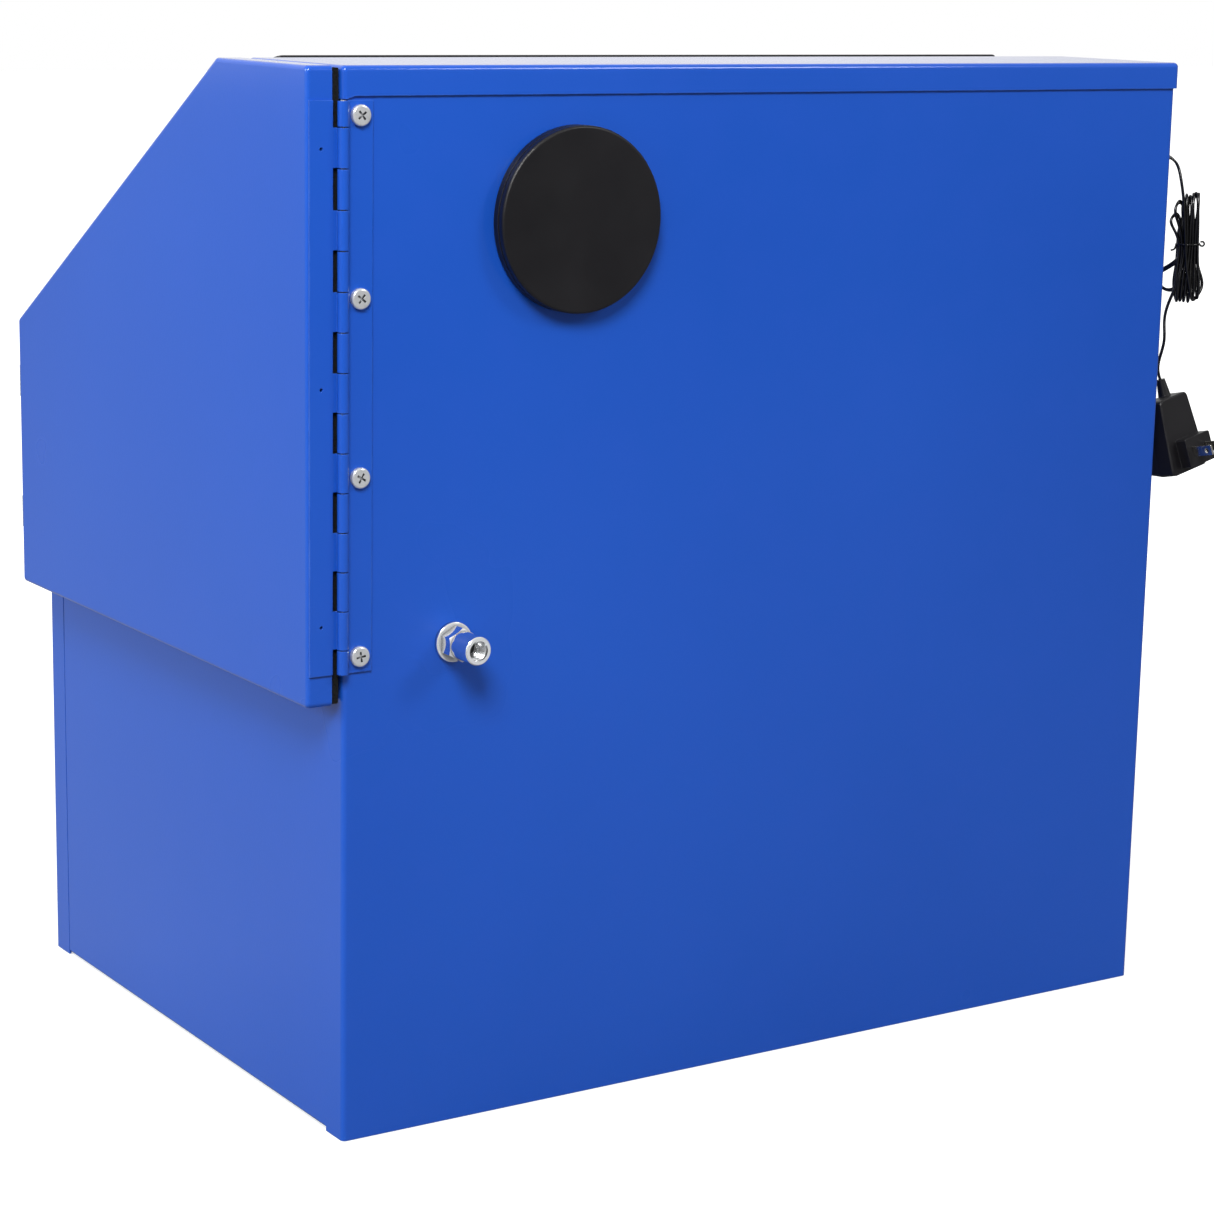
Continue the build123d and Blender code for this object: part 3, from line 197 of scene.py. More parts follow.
def zinc(name, shine=0.25, mottle=1.0, metal=0.78, end_metal=0.78, painted_shade_reach=0.0016):
    """Bright zinc plating: faint crystalline mottle, drawn lines, duller patches and painted shade in its
    recesses.
    metal is how metallic it looks, and end_metal the same on faces turned to the rear, which can be frosted."""
    s = Shader(name)
    normal = s.add("ShaderNodeNewGeometry").outputs["Normal"]
    rearward = s.add("ShaderNodeSeparateXYZ", {0: normal}).outputs["Y"]
    s.set("Metallic", s.span(rearward, 0.4, 0.9, metal, end_metal))
    patch = s.span(s.noise(160, 3), 0.3, 0.7)
    colour = s.mix(s.times(patch, mottle), (0.88, 0.89, 0.90), (0.72, 0.74, 0.75))
    grime = s.times(s.span(s.noise(420, 4), 0.58, 0.72), 0.3 * mottle)
    colour = s.mix(grime, colour, (0.34, 0.34, 0.33))
    # Painted shade: recesses and hollows within reach are darkened to near black by ambient occlusion.
    open_sky = s.add("ShaderNodeAmbientOcclusion", {"Distance": painted_shade_reach}, samples=6).outputs["AO"]
    s.set("Base Color", s.mix(s.span(open_sky, 0.25, 0.8), (0.035, 0.038, 0.045), colour))
    s.set("Roughness", s.span(s.noise(300, 3), 0.3, 0.7, shine * 0.75, shine * 1.3))
    lines = s.noise(900, 2, where=s.stretch(1, 3, 1))
    s.bumps((lines, 0.000012 * mottle), (s.noise(2600, 1), 0.000006 * mottle), soften=0.00018)
    return s.material


def floor_steel(name):
    """Galvanised sheet: spangle, long scratches and abrasive dulling."""
    s = Shader(name, metallic=0.85)
    spangle = s.add("ShaderNodeSeparateColor", {0: s.cells(85, "Color")}).outputs[0]
    scratch = s.span(s.noise(60, 2, where=s.stretch(1, 16, 1), bend=0.4), 0.62, 0.66)
    colour = s.mix(spangle, (0.34, 0.35, 0.36), (0.50, 0.51, 0.51))
    colour = s.mix(s.times(scratch, 0.5), colour, (0.66, 0.66, 0.65))
    dust = s.times(s.span(s.noise(18, 4, 0.6), 0.45, 0.75), 0.4)
    colour = s.mix(dust, colour, (0.42, 0.39, 0.35))
    s.set("Base Color", colour)
    s.set("Roughness", s.sum(s.span(spangle, 0, 1, 0.3, 0.5), s.times(dust, 0.5)))
    s.bumps((scratch, 0.00003), (s.noise(700, 3), 0.00003), soften=0.0004)
    return s.material


def gun_alloy(name):
    """Die-cast alloy: fine casting skin, dulled by overspray, brighter on handled edges."""
    s = Shader(name, metallic=0.9)
    edge = s.worn_and_highlit_edge(0.0012)
    colour = s.mix(s.span(s.noise(35, 3), 0.3, 0.7), (0.40, 0.41, 0.42), (0.52, 0.53, 0.54))
    colour = s.mix(edge, colour, (0.74, 0.74, 0.74))
    s.set("Base Color", colour)
    s.set("Roughness", s.span(s.noise(220, 3), 0.3, 0.7, 0.36, 0.55))
    s.bumps((s.noise(900, 3), 0.00006), (s.noise(120, 2), 0.00008), soften=0.0008)
    return s.material


def valve_brass(name):
    """Turned brass with tool lines and a little tarnish."""
    s = Shader(name, metallic=1.0)
    tarnish = s.span(s.noise(500, 3), 0.45, 0.75)
    s.set("Base Color", s.mix(tarnish, (0.79, 0.60, 0.28), (0.46, 0.31, 0.13)))
    s.set("Roughness", s.span(tarnish, 0, 1, 0.2, 0.42))
    s.bumps((s.noise(1500, 1, where=s.stretch(0.1, 2, 0.1)), 0.00003), soften=0.0002)
    return s.material


def ceramic(name):
    """Glazed ceramic nozzle, crazed and stained round the bore."""
    s = Shader(name, roughness=0.22, Coat_Weight=0.4)
    crazing = s.span(s.cells(420, "Distance", "DISTANCE_TO_EDGE"), 0.0, 0.03, 1.0, 0.0)
    stain = s.span(s.noise(120, 4), 0.5, 0.8)
    colour = s.mix(stain, (0.80, 0.77, 0.70), (0.55, 0.50, 0.42))
    s.set("Base Color", s.mix(s.times(crazing, 0.3), colour, (0.38, 0.34, 0.30)))
    s.bumps((s.noise(700, 2), 0.00002), soften=0.0004)
    return s.material


def black_plastic(name):
    """Satin moulded plastic with a spark-eroded grain, flow marks and paler edges, partly rubbed and partly a
    painted highlight.
    """
    s = Shader(name, Specular_IOR_Level=0.4)
    flow = s.span(s.noise(9, 3, bend=1.2), 0.3, 0.7)
    colour = s.mix(flow, (0.0040, 0.0036, 0.0048), (0.0066, 0.0060, 0.0076))
    # Paler edges: partly rubbed plastic, partly a painted rim highlight.
    rub_and_highlight = s.times(s.worn_and_highlit_edge(0.0009), s.span(s.noise(160, 3), 0.4, 0.65))
    colour = s.mix(s.times(rub_and_highlight, 0.5), colour, (0.055, 0.055, 0.06))
    lint = s.span(s.cells(900), 0.05, 0.09, 1.0, 0.0)
    few = s.span(s.noise(70, 2), 0.62, 0.7)
    s.set("Base Color", s.mix(s.times(s.times(lint, few), 0.5), colour, (0.12, 0.12, 0.12)))
    s.set("Roughness", s.span(s.noise(30, 3), 0.3, 0.7, 0.36, 0.46))
    s.bumps((s.noise(3200, 2), 0.00003), (s.noise(240, 2), 0.00003), soften=0.0005)
    return s.material


def black_rubber(name):
    """Matt natural rubber: fine skin, soft creases and a chalky bloom on raised places."""
    s = Shader(name, Specular_IOR_Level=0.35)
    bloom = s.span(s.noise(40, 5, 0.6), 0.42, 0.75)
    s.set("Base Color", s.mix(s.times(bloom, 0.55), (0.013, 0.013, 0.014), (0.052, 0.050, 0.048)))
    s.set("Roughness", s.span(bloom, 0, 1, 0.5, 0.72))
    grain = s.cells(1500, "Distance", "SMOOTH_F1")
    s.bumps((grain, 0.00006), (s.noise(420, 3), 0.00007))
    return s.material


def black_foam(name):
    """Closed-cell foam strip: open skin full of small pores, with painted shade deep in the pores."""
    s = Shader(name, Specular_IOR_Level=0.1, Sheen_Weight=0.04)
    pores = s.cells(760)
    small = s.cells(1900)
    depth = s.sum(s.times(pores, 0.7), s.times(small, 0.3))
    # Painted shade: the colour is darkest where the bump is deepest, in the pores.
    s.set("Base Color", s.mix(s.span(depth, 0.1, 0.55), (0.001, 0.001, 0.001), (0.009, 0.009, 0.009)))
    s.set("Roughness", 0.93)
    s.bumps((depth, 0.0005))
    return s.material


def cord_vinyl(name):
    """Glossy extruded vinyl with faint drag lines and finger marks."""
    s = Shader(name, Specular_IOR_Level=0.55)
    shade = s.span(s.noise(60, 2), 0.3, 0.7)
    s.set("Base Color", s.mix(shade, (0.0015, 0.0015, 0.0018), (0.0034, 0.0034, 0.004)))
    s.set("Roughness", s.span(s.noise(150, 3), 0.3, 0.7, 0.17, 0.27))
    s.bumps((s.noise(900, 2), 0.00003))
    return s.material


def hose_vinyl(name):
    """Cloudy siphon hose, dusted inside, with wall streaks from extrusion."""
    s = Shader(name, roughness=0.28, Transmission_Weight=0.45, IOR=1.45)
    cloud = s.span(s.noise(60, 4, 0.6), 0.35, 0.75)
    s.set("Base Color", s.mix(cloud, (0.80, 0.82, 0.80), (0.50, 0.47, 0.42)))
    s.set("Roughness", s.span(cloud, 0, 1, 0.22, 0.5))
    s.bumps((s.noise(500, 2), 0.00006))
    return s.material


def glass(name):
    """Window pane: clear with a green cast, soft scratches and dust, cheap for light to pass through."""
    s = Shader(name, colour=(0.92, 0.97, 0.94), roughness=0.03)
    dust = s.span(s.noise(9, 6, 0.7), 0.4, 0.85, 0.012, 0.06)
    scratch = s.span(s.noise(90, 2, where=s.stretch(2.4, 0.5, 1), bend=0.5), 0.66, 0.69, 0.0, 0.06)
    haze = s.sum(dust, scratch)
    clear = s.add("ShaderNodeBsdfTransparent", {"Color": (0.90, 0.96, 0.93, 1)})
    shine = s.add("ShaderNodeBsdfGlossy", {"Color": (1, 1, 1, 1), "Roughness": 0.04})
    film = s.add("ShaderNodeBsdfDiffuse", {"Color": (0.55, 0.54, 0.52, 1)})
    fresnel = s.add("ShaderNodeFresnel", {"IOR": 1.45}).outputs["Fac"]
    one = s.add("ShaderNodeMixShader", {0: fresnel, 1: clear.outputs[0], 2: shine.outputs[0]})
    two = s.add("ShaderNodeMixShader", {0: haze, 1: one.outputs[0], 2: film.outputs[0]})
    out = s.tree.nodes["Material Output"]
    s.tree.links.new(two.outputs[0], out.inputs["Surface"])
    return s.material


def lamp_body(name):
    """White enamelled lamp channel."""
    s = Shader(name, roughness=0.35)
    s.set("Base Color", s.mix(s.span(s.noise(20, 4), 0.4, 0.75), (0.78, 0.78, 0.76), (0.60, 0.58, 0.54)))
    s.bumps((s.noise(500, 2), 0.00003), soften=0.0006)
    return s.material


def lamp_lens(name):
    """Frosted lamp cover with prism ribs across it."""
    s = Shader(name, roughness=0.4, Transmission_Weight=0.35, IOR=1.49)
    s.set("Base Color", s.mix(s.span(s.noise(25, 4), 0.4, 0.75), (0.86, 0.87, 0.86), (0.66, 0.65, 0.61)))
    ribs = s.add("ShaderNodeTexWave", {"Vector": s.where, "Scale": 160.0}, bands_direction="X").outputs["Fac"]
    s.bumps((ribs, 0.0004), (s.noise(800, 2), 0.00003))
    return s.material


def nickel(name):
    """Nickel-plated blades, brushed along their length."""
    s = Shader(name, metallic=1.0)
    s.set("Base Color", s.mix(s.span(s.noise(300, 3), 0.3, 0.7), (0.62, 0.60, 0.55), (0.80, 0.78, 0.72)))
    s.set("Roughness", s.span(s.noise(400, 2), 0.3, 0.7, 0.16, 0.3))
    s.bumps((s.noise(1400, 2, where=s.stretch(1, 0.08, 1)), 0.00002), soften=0.0002)
    return s.material


FINISHES = {
    "powder_coat": powder_coat("powder_coat"),
    "coated_inside": powder_coat("coated_inside", dusty=0.6),
    "zinc": zinc("zinc", mottle=0.4),
    "turned_zinc": zinc("turned_zinc", shine=0.09, mottle=0.2, metal=0.98, end_metal=0.45, painted_shade_reach=0.006),
    "screw_zinc": zinc("screw_zinc", shine=0.2, mottle=0.8, metal=0.7, end_metal=0.62),
    "floor_steel": floor_steel("floor_steel"),
    "gun_alloy": gun_alloy("gun_alloy"),
    "valve_brass": valve_brass("valve_brass"),
    "ceramic": ceramic("ceramic"),
    "black_plastic": black_plastic("black_plastic"),
    "black_rubber": black_rubber("black_rubber"),
    "black_foam": black_foam("black_foam"),
    "cord_vinyl": cord_vinyl("cord_vinyl"),
    "hose_vinyl": hose_vinyl("hose_vinyl"),
    "glass": glass("glass"),
    "lamp_body": lamp_body("lamp_body"),
    "lamp_lens": lamp_lens("lamp_lens"),
    "nickel": nickel("nickel"),
}

FINER_ZINC = {"inlet_fitting": "turned_zinc", "hinge_screws": "screw_zinc", "window_screws": "screw_zinc"}

for row in frame["record"]["subparts"]:
    node = frame["nodes"][row["node"]]
    node.data.materials.clear()
    node.data.materials.append(FINISHES[FINER_ZINC.get(row["node"], row["material_slot"])])

# ---------------------------------------------------------------- mesh helpers


def piece(name, mesh_data, finish, body, smooth=40.0):
    """A new mesh piece with its finish, riding on a body. Edges sharper than smooth degrees stay sharp."""
    verts, faces = mesh_data
    mesh = bpy.data.meshes.new(name)
    mesh.from_pydata([tuple(v) for v in verts], [], faces)
    mesh.validate()
    mesh.materials.append(FINISHES[finish])
    mesh.polygons.foreach_set("use_smooth", [True] * len(mesh.polygons))
    mesh.set_sharp_from_angle(angle=math.radians(smooth))
    obj = bpy.data.objects.new(name, mesh)
    scene.collection.objects.link(obj)
    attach(obj, body)
    return obj


def joined(*meshes):
    """Several (verts, faces) pairs as one."""
    verts, faces = [], []
    for more_verts, more_faces in meshes:
        faces += [tuple(i + len(verts) for i in face) for face in more_faces]
        verts += more_verts
    return verts, faces


def through(points, step=0.003):
    """Points every step along a smooth curve through the given points."""
    spots = np.array([tuple(p) for p in points], float)
    gaps = np.linalg.norm(np.diff(spots, axis=0), axis=1)
    knots = np.concatenate([[0.0], np.cumsum(gaps)])
    last = len(spots) - 1
    system = np.eye(last + 1)
    pull = np.zeros_like(spots)
    for i in range(1, last):
        system[i, i - 1 : i + 2] = gaps[i - 1], 2 * (gaps[i - 1] + gaps[i]), gaps[i]
        pull[i] = 6 * ((spots[i + 1] - spots[i]) / gaps[i] - (spots[i] - spots[i - 1]) / gaps[i - 1])
    bend = np.linalg.solve(system, pull)
    path = []
    for t in np.linspace(0, knots[-1], int(knots[-1] / step) + 2):
        k = min(int(np.searchsorted(knots, t, "right")) - 1, last - 1)
        a = (knots[k + 1] - t) / gaps[k]
        b = 1 - a
        swing = ((a**3 - a) * bend[k] + (b**3 - b) * bend[k + 1]) * gaps[k] ** 2 / 6
        path.append(Vector(a * spots[k] + b * spots[k + 1] + swing))
    return path


def frames(path, across=None, closed=False):
    """(point, u, v) along a path. u keeps close to across, or turns as little as it can from ring to ring."""
    out = []
    u = None
    count = len(path)
    for i, point in enumerate(path):
        ahead = path[(i + 1) % count] if closed else path[min(i + 1, count - 1)]
        behind = path[i - 1] if closed else path[max(i - 1, 0)]
        way = (ahead - behind).normalized()
        guide = across or u or way.orthogonal()
        u = (guide - way * guide.dot(way)).normalized()
        out.append((point, u, way.cross(u)))
    return out


def skin(path, section, across=None, closed=False):
    """Skins a path. section(share) gives a ring's (u, v) offsets at that share of the way along."""
    verts, faces = [], []
    places = frames(path, across, closed)
    for i, (point, u, v) in enumerate(places):
        verts += [point + u * a + v * b for a, b in section(i / (len(places) - 1))]
    ring = len(verts) // len(places)
    steps = len(places) if closed else len(places) - 1
    for i in range(steps):
        low, high = i * ring, (i + 1) % len(places) * ring
        for k in range(ring):
            nxt = (k + 1) % ring
            faces.append((low + k, low + nxt, high + nxt, high + k))
    if not closed:
        faces.append(tuple(reversed(range(ring))))
        faces.append(tuple(range(len(verts) - ring, len(verts))))
    return verts, faces


def circle(radius, count=16):
    turns = [2 * math.pi * k / count for k in range(count)]
    return [(radius * math.cos(t), radius * math.sin(t)) for t in turns]


def pipe(path, outer, bore, count=24):
    """A hollow pipe along a path. outer is a function of the share of the way along."""
    places = frames(path)
    verts, faces = [], []
    for i, (point, u, v) in enumerate(places):
        for radius in (outer(i / (len(places) - 1)), bore):
            verts += [point + u * a + v * b for a, b in circle(radius, count)]
    ring = 2 * count
    for i in range(len(places) - 1):
        low, high = i * ring, (i + 1) * ring
        for k in range(count):
            nxt = (k + 1) % count
            faces.append((low + k, low + nxt, high + nxt, high + k))
            faces.append((low + count + nxt, low + count + k, high + count + k, high + count + nxt))
    end = (len(places) - 1) * ring
    for k in range(count):
        nxt = (k + 1) % count
        faces.append((k, count + k, count + nxt, nxt))
        faces.append((end + k, end + nxt, end + count + nxt, end + count + k))
    return verts, faces


def lathe(at, way, profile, count=48):
    """Turns a closed profile of (radius, height) points round an axis."""
    way = Vector(way).normalized()
    u = way.orthogonal().normalized()
    v = way.cross(u)
    verts, faces = [], []
    for a, b in circle(1.0, count):
        verts += [at + (u * a + v * b) * radius + way * height for radius, height in profile]
    ring = len(profile)
    for i in range(count):
        low, high = i * ring, (i + 1) % count * ring
        for k in range(ring):
            nxt = (k + 1) % ring
            faces.append((low + k, low + nxt, high + nxt, high + k))
    return verts, faces


def inset(corners, amount):
    """A convex outline's corners, listed anticlockwise, moved in by amount."""
    out = []
    count = len(corners)
    for i, corner in enumerate(corners):
        before = (Vector(corner) - Vector(corners[i - 1])).normalized()
        after = (Vector(corners[(i + 1) % count]) - Vector(corner)).normalized()
        normal = Vector((-before.y - after.y, before.x + after.x))
        normal /= normal.dot(Vector((-before.y, before.x)))
        out.append(Vector(corner) + normal * amount)
    return out


def strip_round(corners, profile, place, step, wander):
    """A mitred strip round an outline. profile is (inset, height) points, and place(a, b, height) puts a
    point in the frame. wander is how far, in metres, the strip's skin strays from true."""
    verts, faces = [], []
    edges = [inset(corners, amount) for amount, _ in profile]
    counts = []
    for i in range(len(corners)):
        span = (Vector(corners[(i + 1) % len(corners)]) - Vector(corners[i])).length
        counts.append(max(2, int(span / step)))
    for i, count in enumerate(counts):
        for k in range(count):
            for edge, (_, height) in zip(edges, profile):
                flat = edge[i].lerp(edge[(i + 1) % len(corners)], k / count)
                spot = place(flat.x, flat.y, height)
                verts.append(spot + noise.noise_vector(spot * 90) * wander)
    ring = len(profile)
    total = sum(counts)
    for i in range(total):
        low, high = i * ring, (i + 1) % total * ring
        for k in range(ring):
            nxt = (k + 1) % ring
            faces.append((low + k, high + k, high + nxt, low + nxt))
    return verts, faces


def pillow(wide, low, high, round_off, crown=0.0, side_steps=6):
    """Closed (inset, height) profile of a soft strip: rounded edges, and a crown on its high face."""
    points = []
    corners = [(wide[1], low), (wide[1], high), (wide[0], high), (wide[0], low)]
    for (a, b), start in zip(corners, (270, 0, 90, 180)):
        centre_a = a - round_off if a == wide[1] else a + round_off
        centre_b = b - round_off if b == high else b + round_off
        for k in range(4):
            turn = math.radians(start + k * 30)
            points.append((centre_a + round_off * math.cos(turn), centre_b + round_off * math.sin(turn)))
        if (a, b) == (wide[1], high):
            for k in range(1, side_steps):
                share = k / side_steps
                across = wide[1] - round_off + (wide[0] + 2 * round_off - wide[1]) * share
                points.append((across, high + crown * math.sin(math.pi * share)))
    return points


# ---------------------------------------------------------------- seals

ROOF_Z = 0.600
ROOF_EDGE_Y = 0.095
NOSE_Z = 0.425
DOOR_FRONT_Y = -0.1955
SLOPE = math.atan2(ROOF_Z - NOSE_Z, ROOF_EDGE_Y - DOOR_FRONT_Y)
WINDOW_TOP = 0.0255
WINDOW_LENGTH = 0.284
WINDOW_WIDTH = 0.532


def door_seal():
    """Foam strip round the inside of the door, mitred at its corners, its skin a little uneven."""
    low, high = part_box("door_gasket")
    pan_low, pan_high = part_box("door_panel")
    corners = [
        (pan_low.y, pan_low.z),
        (pan_high.y, pan_low.z),
        (pan_high.y, pan_high.z),
        (ROOF_EDGE_Y, pan_high.z),
        (pan_low.y, NOSE_Z),
    ]
    thick = high.x - low.x
    profile = pillow((1.2 * MM, 15.8 * MM), 0.0, thick - 0.3 * MM, 1.1 * MM, crown=0.25 * MM)
    mesh = strip_round(corners, profile, lambda a, b, h: Vector((high.x - h, a, b)), 0.006, 0.00022)
    obj = piece("door_seal", mesh, "black_foam", "door", smooth=60)
    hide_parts("door_gasket")


def slope_point(a, b, height):
    """A point on the window slope: a across, b up the slope from the roof's edge, height out of it."""
    up = Vector((0, math.cos(SLOPE), math.sin(SLOPE)))
    out = Vector((0, -math.sin(SLOPE), math.cos(SLOPE)))
    return Vector((a, ROOF_EDGE_Y, ROOF_Z)) + up * b + out * height


def window_seal():
    """Rubber ring under the glass, with a soft lip on both edges."""
    top, length, half = WINDOW_TOP, WINDOW_LENGTH, WINDOW_WIDTH / 2
    corners = [(-half, -top - length), (half, -top - length), (half, -top), (-half, -top)]
    profile = pillow((4.2 * MM, 21.8 * MM), 0.15 * MM, 2.45 * MM, 0.6 * MM, crown=0.03 * MM)
    mesh = strip_round(corners, profile, slope_point, 0.012, 0.00005)
    obj = piece("window_seal", mesh, "black_rubber", "cabinet", smooth=60)
    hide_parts("window_gasket")


def grommet():
    """Moulded cord grommet: rolled outer flange, groove for the sheet, tapered inner flange."""
    low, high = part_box("cord_grommet")
    middle = (low + high) / 2
    at = Vector((high.x, middle.y, middle.z))
    deep = high.x - low.x
    bore = 1.9
    profile = [(bore, 0.2), (bore + 0.6, 0), (6.6, 0), (7.4, 0.5), (7.2, 1.3), (5.6, 1.5), (5.4, 2.9)]
    profile += [(7.9, 3.0), (8.4, 3.6), (8.5, 4.6), (8.0, 5.5), (6.8, deep / MM), (3.4, deep / MM)]
    profile += [(bore + 0.3, deep / MM - 0.6)]
    mesh = lathe(at, (-1, 0, 0), [(r * MM, h * MM) for r, h in profile])
    obj = piece("grommet", mesh, "black_rubber", "cabinet", smooth=50)
    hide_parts("cord_grommet")


# ---------------------------------------------------------------- cords

LEAD_R = 0.84
LEAD_HALF_GAP = 0.74
BOOT_TOP = mm(-319.92, 178.38, 396.06)
BOOT_WAY = Vector((0.2164, -0.1856, 0.9585))
HANK_LOW, HANK_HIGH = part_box("cord_hank")
HANK_AT = (HANK_LOW + HANK_HIGH) / 2
HANK_U = Vector((-0.84, 0.543, 0)).normalized()
HANK_W = Vector((0.543, 0.84, 0)).normalized()

# The hank's loops in millimetres: (across, up) of each loop's top and of the bottoms between loops, and half
# the width of each loop's eye. The tie's width is across the loops where it holds them.
LOOP_TOPS = [(5.4, 34.6), (3.7, 35.0), (2.1, 34.4), (0.1, 33.0)]
LOOP_TOPS += [(-2.3, 33.8), (-4.2, 31.2), (-6.6, 29.8), (-8.6, 21.6)]
LOOP_BOTTOMS = [(11.2, -30.0), (8.0, -31.4), (4.9, -32.2), (2.2, -33.8)]
LOOP_BOTTOMS += [(-0.6, -33.4), (-3.0, -33.2), (-5.2, -33.4)]
LOOP_EYES = [0.6, -0.8, 0.5, -0.4, 0.3, 0.8, 2.8, 3.4]
LOOPS = len(LOOP_TOPS)
TIE_WIDTH = 12.0


def twin_lead(_share):
    """Outline of a flat two-core cord, the same all along, its cores side by side along v."""
    fold = math.pi - math.acos(LEAD_HALF_GAP / LEAD_R)
    ring = []
    for way in (1, -1):
        for k in range(9):
            turn = -fold + 2 * fold * k / 9
            u = way * LEAD_R * math.sin(turn)
            v = way * (LEAD_HALF_GAP + LEAD_R * math.cos(turn))
            ring.append((u * MM, v * MM))
    return ring


def by_hank(u, w, z):
    """A point in millimetres from the hank's middle: u across its face, w out of its face and z up."""
    return HANK_AT + HANK_U * (u * MM) + HANK_W * (w * MM) + Vector((0, 0, z * MM))


def hank_loop(i, wobble):
    """Points of one loop: up through the tie on one side of the hank, over the top and down the other."""
    waist = TIE_WIDTH / 2 - i * TIE_WIDTH / (LOOPS - 1)
    top_u, top_z = LOOP_TOPS[i]
    eye = LOOP_EYES[i]
    in_u = LOOP_BOTTOMS[i][0] if i < LOOPS - 1 else -6.6
    out_u = LOOP_BOTTOMS[i + 1][0] if i < LOOPS - 2 else (-6.0 if i == LOOPS - 2 else -7.4)
    neck = top_u * 0.6 + waist * 0.4
    points = [by_hank(in_u, -3.6, -26), by_hank(in_u * 0.5 + waist * 0.5 + wobble, -3.2, -13)]
    points += [by_hank(waist, -2.5, 2.5), by_hank(neck + eye * 0.6, -3.0, top_z * 0.55)]
    points += [by_hank(top_u + eye, -2.7, top_z - 3.4), by_hank(top_u, 0, top_z)]
    points += [by_hank(top_u - eye, 2.7, top_z - 3.4), by_hank(neck - eye * 0.6, 3.0, top_z * 0.55)]
    points += [by_hank(waist, 2.5, 2.5), by_hank(out_u * 0.5 + waist * 0.5 - wobble, 3.2, -13)]
    points += [by_hank(out_u, 3.6, -25)]
    if i < LOOPS - 1:
        next_u, next_z = LOOP_BOTTOMS[min(i + 1, LOOPS - 2)]
        points += [by_hank(next_u, 0, next_z)]
    return points


def cord_run():
    """The whole outside cord: out of the grommet, down into a hank of eight loops, and on to the adapter.
    A slack loop hangs loose beside the hank."""
    jitter = random.Random(11)
    grommet_low, grommet_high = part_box("cord_grommet")
    mouth = (grommet_low + grommet_high) / 2
    path = [mouth + mm(1.5, 0, 0), mouth + mm(-3.5, 0.3, -0.2), mouth + mm(-11, 4, -2)]
    path += [by_hank(-10.5, 2, 54.5), by_hank(-7.5, 4.3, 45), by_hank(-5.6, 5.6, 34), by_hank(-4.2, 6.0, 20)]
    path += [by_hank(-2.4, 5.4, 2.5), by_hank(-0.6, 5.6, -14), by_hank(2.4, 4.6, -27)]
    path += [by_hank(5.0, 1.0, -32.5)]
    for i in range(LOOPS):
        path += hank_loop(i, jitter.uniform(-0.35, 0.35))
    path += [by_hank(-9.6, 1.6, -33), by_hank(-12.2, 0.2, -45.6), mm(-318, 182, 421)]
    path += [BOOT_TOP + BOOT_WAY * 0.006, BOOT_TOP - BOOT_WAY * 0.004]
    loose = [by_hank(-2.5, 0, -3), by_hank(-6.6, 1.2, -7.8), by_hank(-13.6, -4, -14)]
    loose += [by_hank(-16.5, -12, -20), by_hank(-12, -14, -27), by_hank(-5, -5, -26)]
    loose += [by_hank(-2.5, -1.5, -22)]
    run = skin(through(path, 0.0011), twin_lead, across=HANK_U)
    slack = skin(through(loose, 0.0012), twin_lead)
    obj = piece("cord_run", joined(run, slack), "cord_vinyl", "cabinet", smooth=70)
    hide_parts("power_cord", "cord_hank")


def cord_tie():
    """Wire tie: a loose tail, one turn and a bit round the hank's waist, and a curled end."""
    turns = []
    for k in range(23):
        angle = math.radians(200 + k * 20)
        turns.append(by_hank(7.4 * math.cos(angle), 5.6 * math.sin(angle) + 0.4, 2.6 + 0.02 * k))
    tail = [by_hank(-11.2, 3.4, -1.0), by_hank(-9.2, 2.6, -0.6)]
    curl_turns = (3.4, 4.4, 5.6, 6.6, 7.6, 8.6)
    curl = [by_hank(8.6 + 1.5 * math.cos(a), 3.6, 3.4 + 1.5 * math.sin(a)) for a in curl_turns]
    tie = skin(through(tail + turns + curl, 0.0009), lambda share: circle(0.62 * MM, 8))
    piece("cord_tie", tie, "cord_vinyl", "cabinet", smooth=70)


# ---------------------------------------------------------------- hoses and wiring


def ear_clamp(name, at, way, radius, width, turn):
    """A pinched band clamp: a thin ring with one squeezed ear."""
    way = Vector(way).normalized()
    u = way.orthogonal().normalized()
    v = way.cross(u)
    verts, faces = [], []
    count = 64
    for i in range(count):
        angle = 2 * math.pi * i / count
        away = abs((angle - turn + math.pi) % (2 * math.pi) - math.pi)
        ear = 3.0 * MM * max(0.0, math.cos(min(away * 3.6, math.pi / 2))) ** 0.7
        waist = 1.0 - 0.25 * max(0.0, math.cos(min(away * 4.0, math.pi / 2)))
        for reach, side in ((0, -1), (0.7 * MM, -1), (0.7 * MM, 1), (0, 1)):
            spot = (u * math.cos(angle) + v * math.sin(angle)) * (radius + ear + reach)
            verts.append(at + spot + way * (side * width / 2 * waist))
    for i in range(count):
        low, high = i * 4, (i + 1) % count * 4
        for k in range(4):
            nxt = (k + 1) % 4
            faces.append((low + k, low + nxt, high + nxt, high + k))
    piece(name, (verts, faces), "zinc", "cabinet", smooth=50)


AIR_HOSE = [(226, 185, 282.7), (226, 161, 282.7), (200, 137, 276.7), (136, 128, 264.7), (30, 130, 253)]
AIR_HOSE += [(-70, 128, 250), (-165, 108, 252), (-228, 48, 264), (-257, -16, 302)]
GRIP_WAY = Vector((0, math.sin(math.radians(10)), math.cos(math.radians(10))))
GRIP_END = mm(-255, -34.7, 374.8)
MEDIA_HOSE = [(-222, 150, 180), (-256, 171, 219), (-266, 172, 280), (-264, 140, 350)]
PICKUP_TOP = mm(-150, 98, 132)
PICKUP_LOW = mm(-34, 22, 28)
GUN_BRANCH = mm(-255, 50, 438)
BRANCH_WAY = Vector((0, -0.6, 0.8))


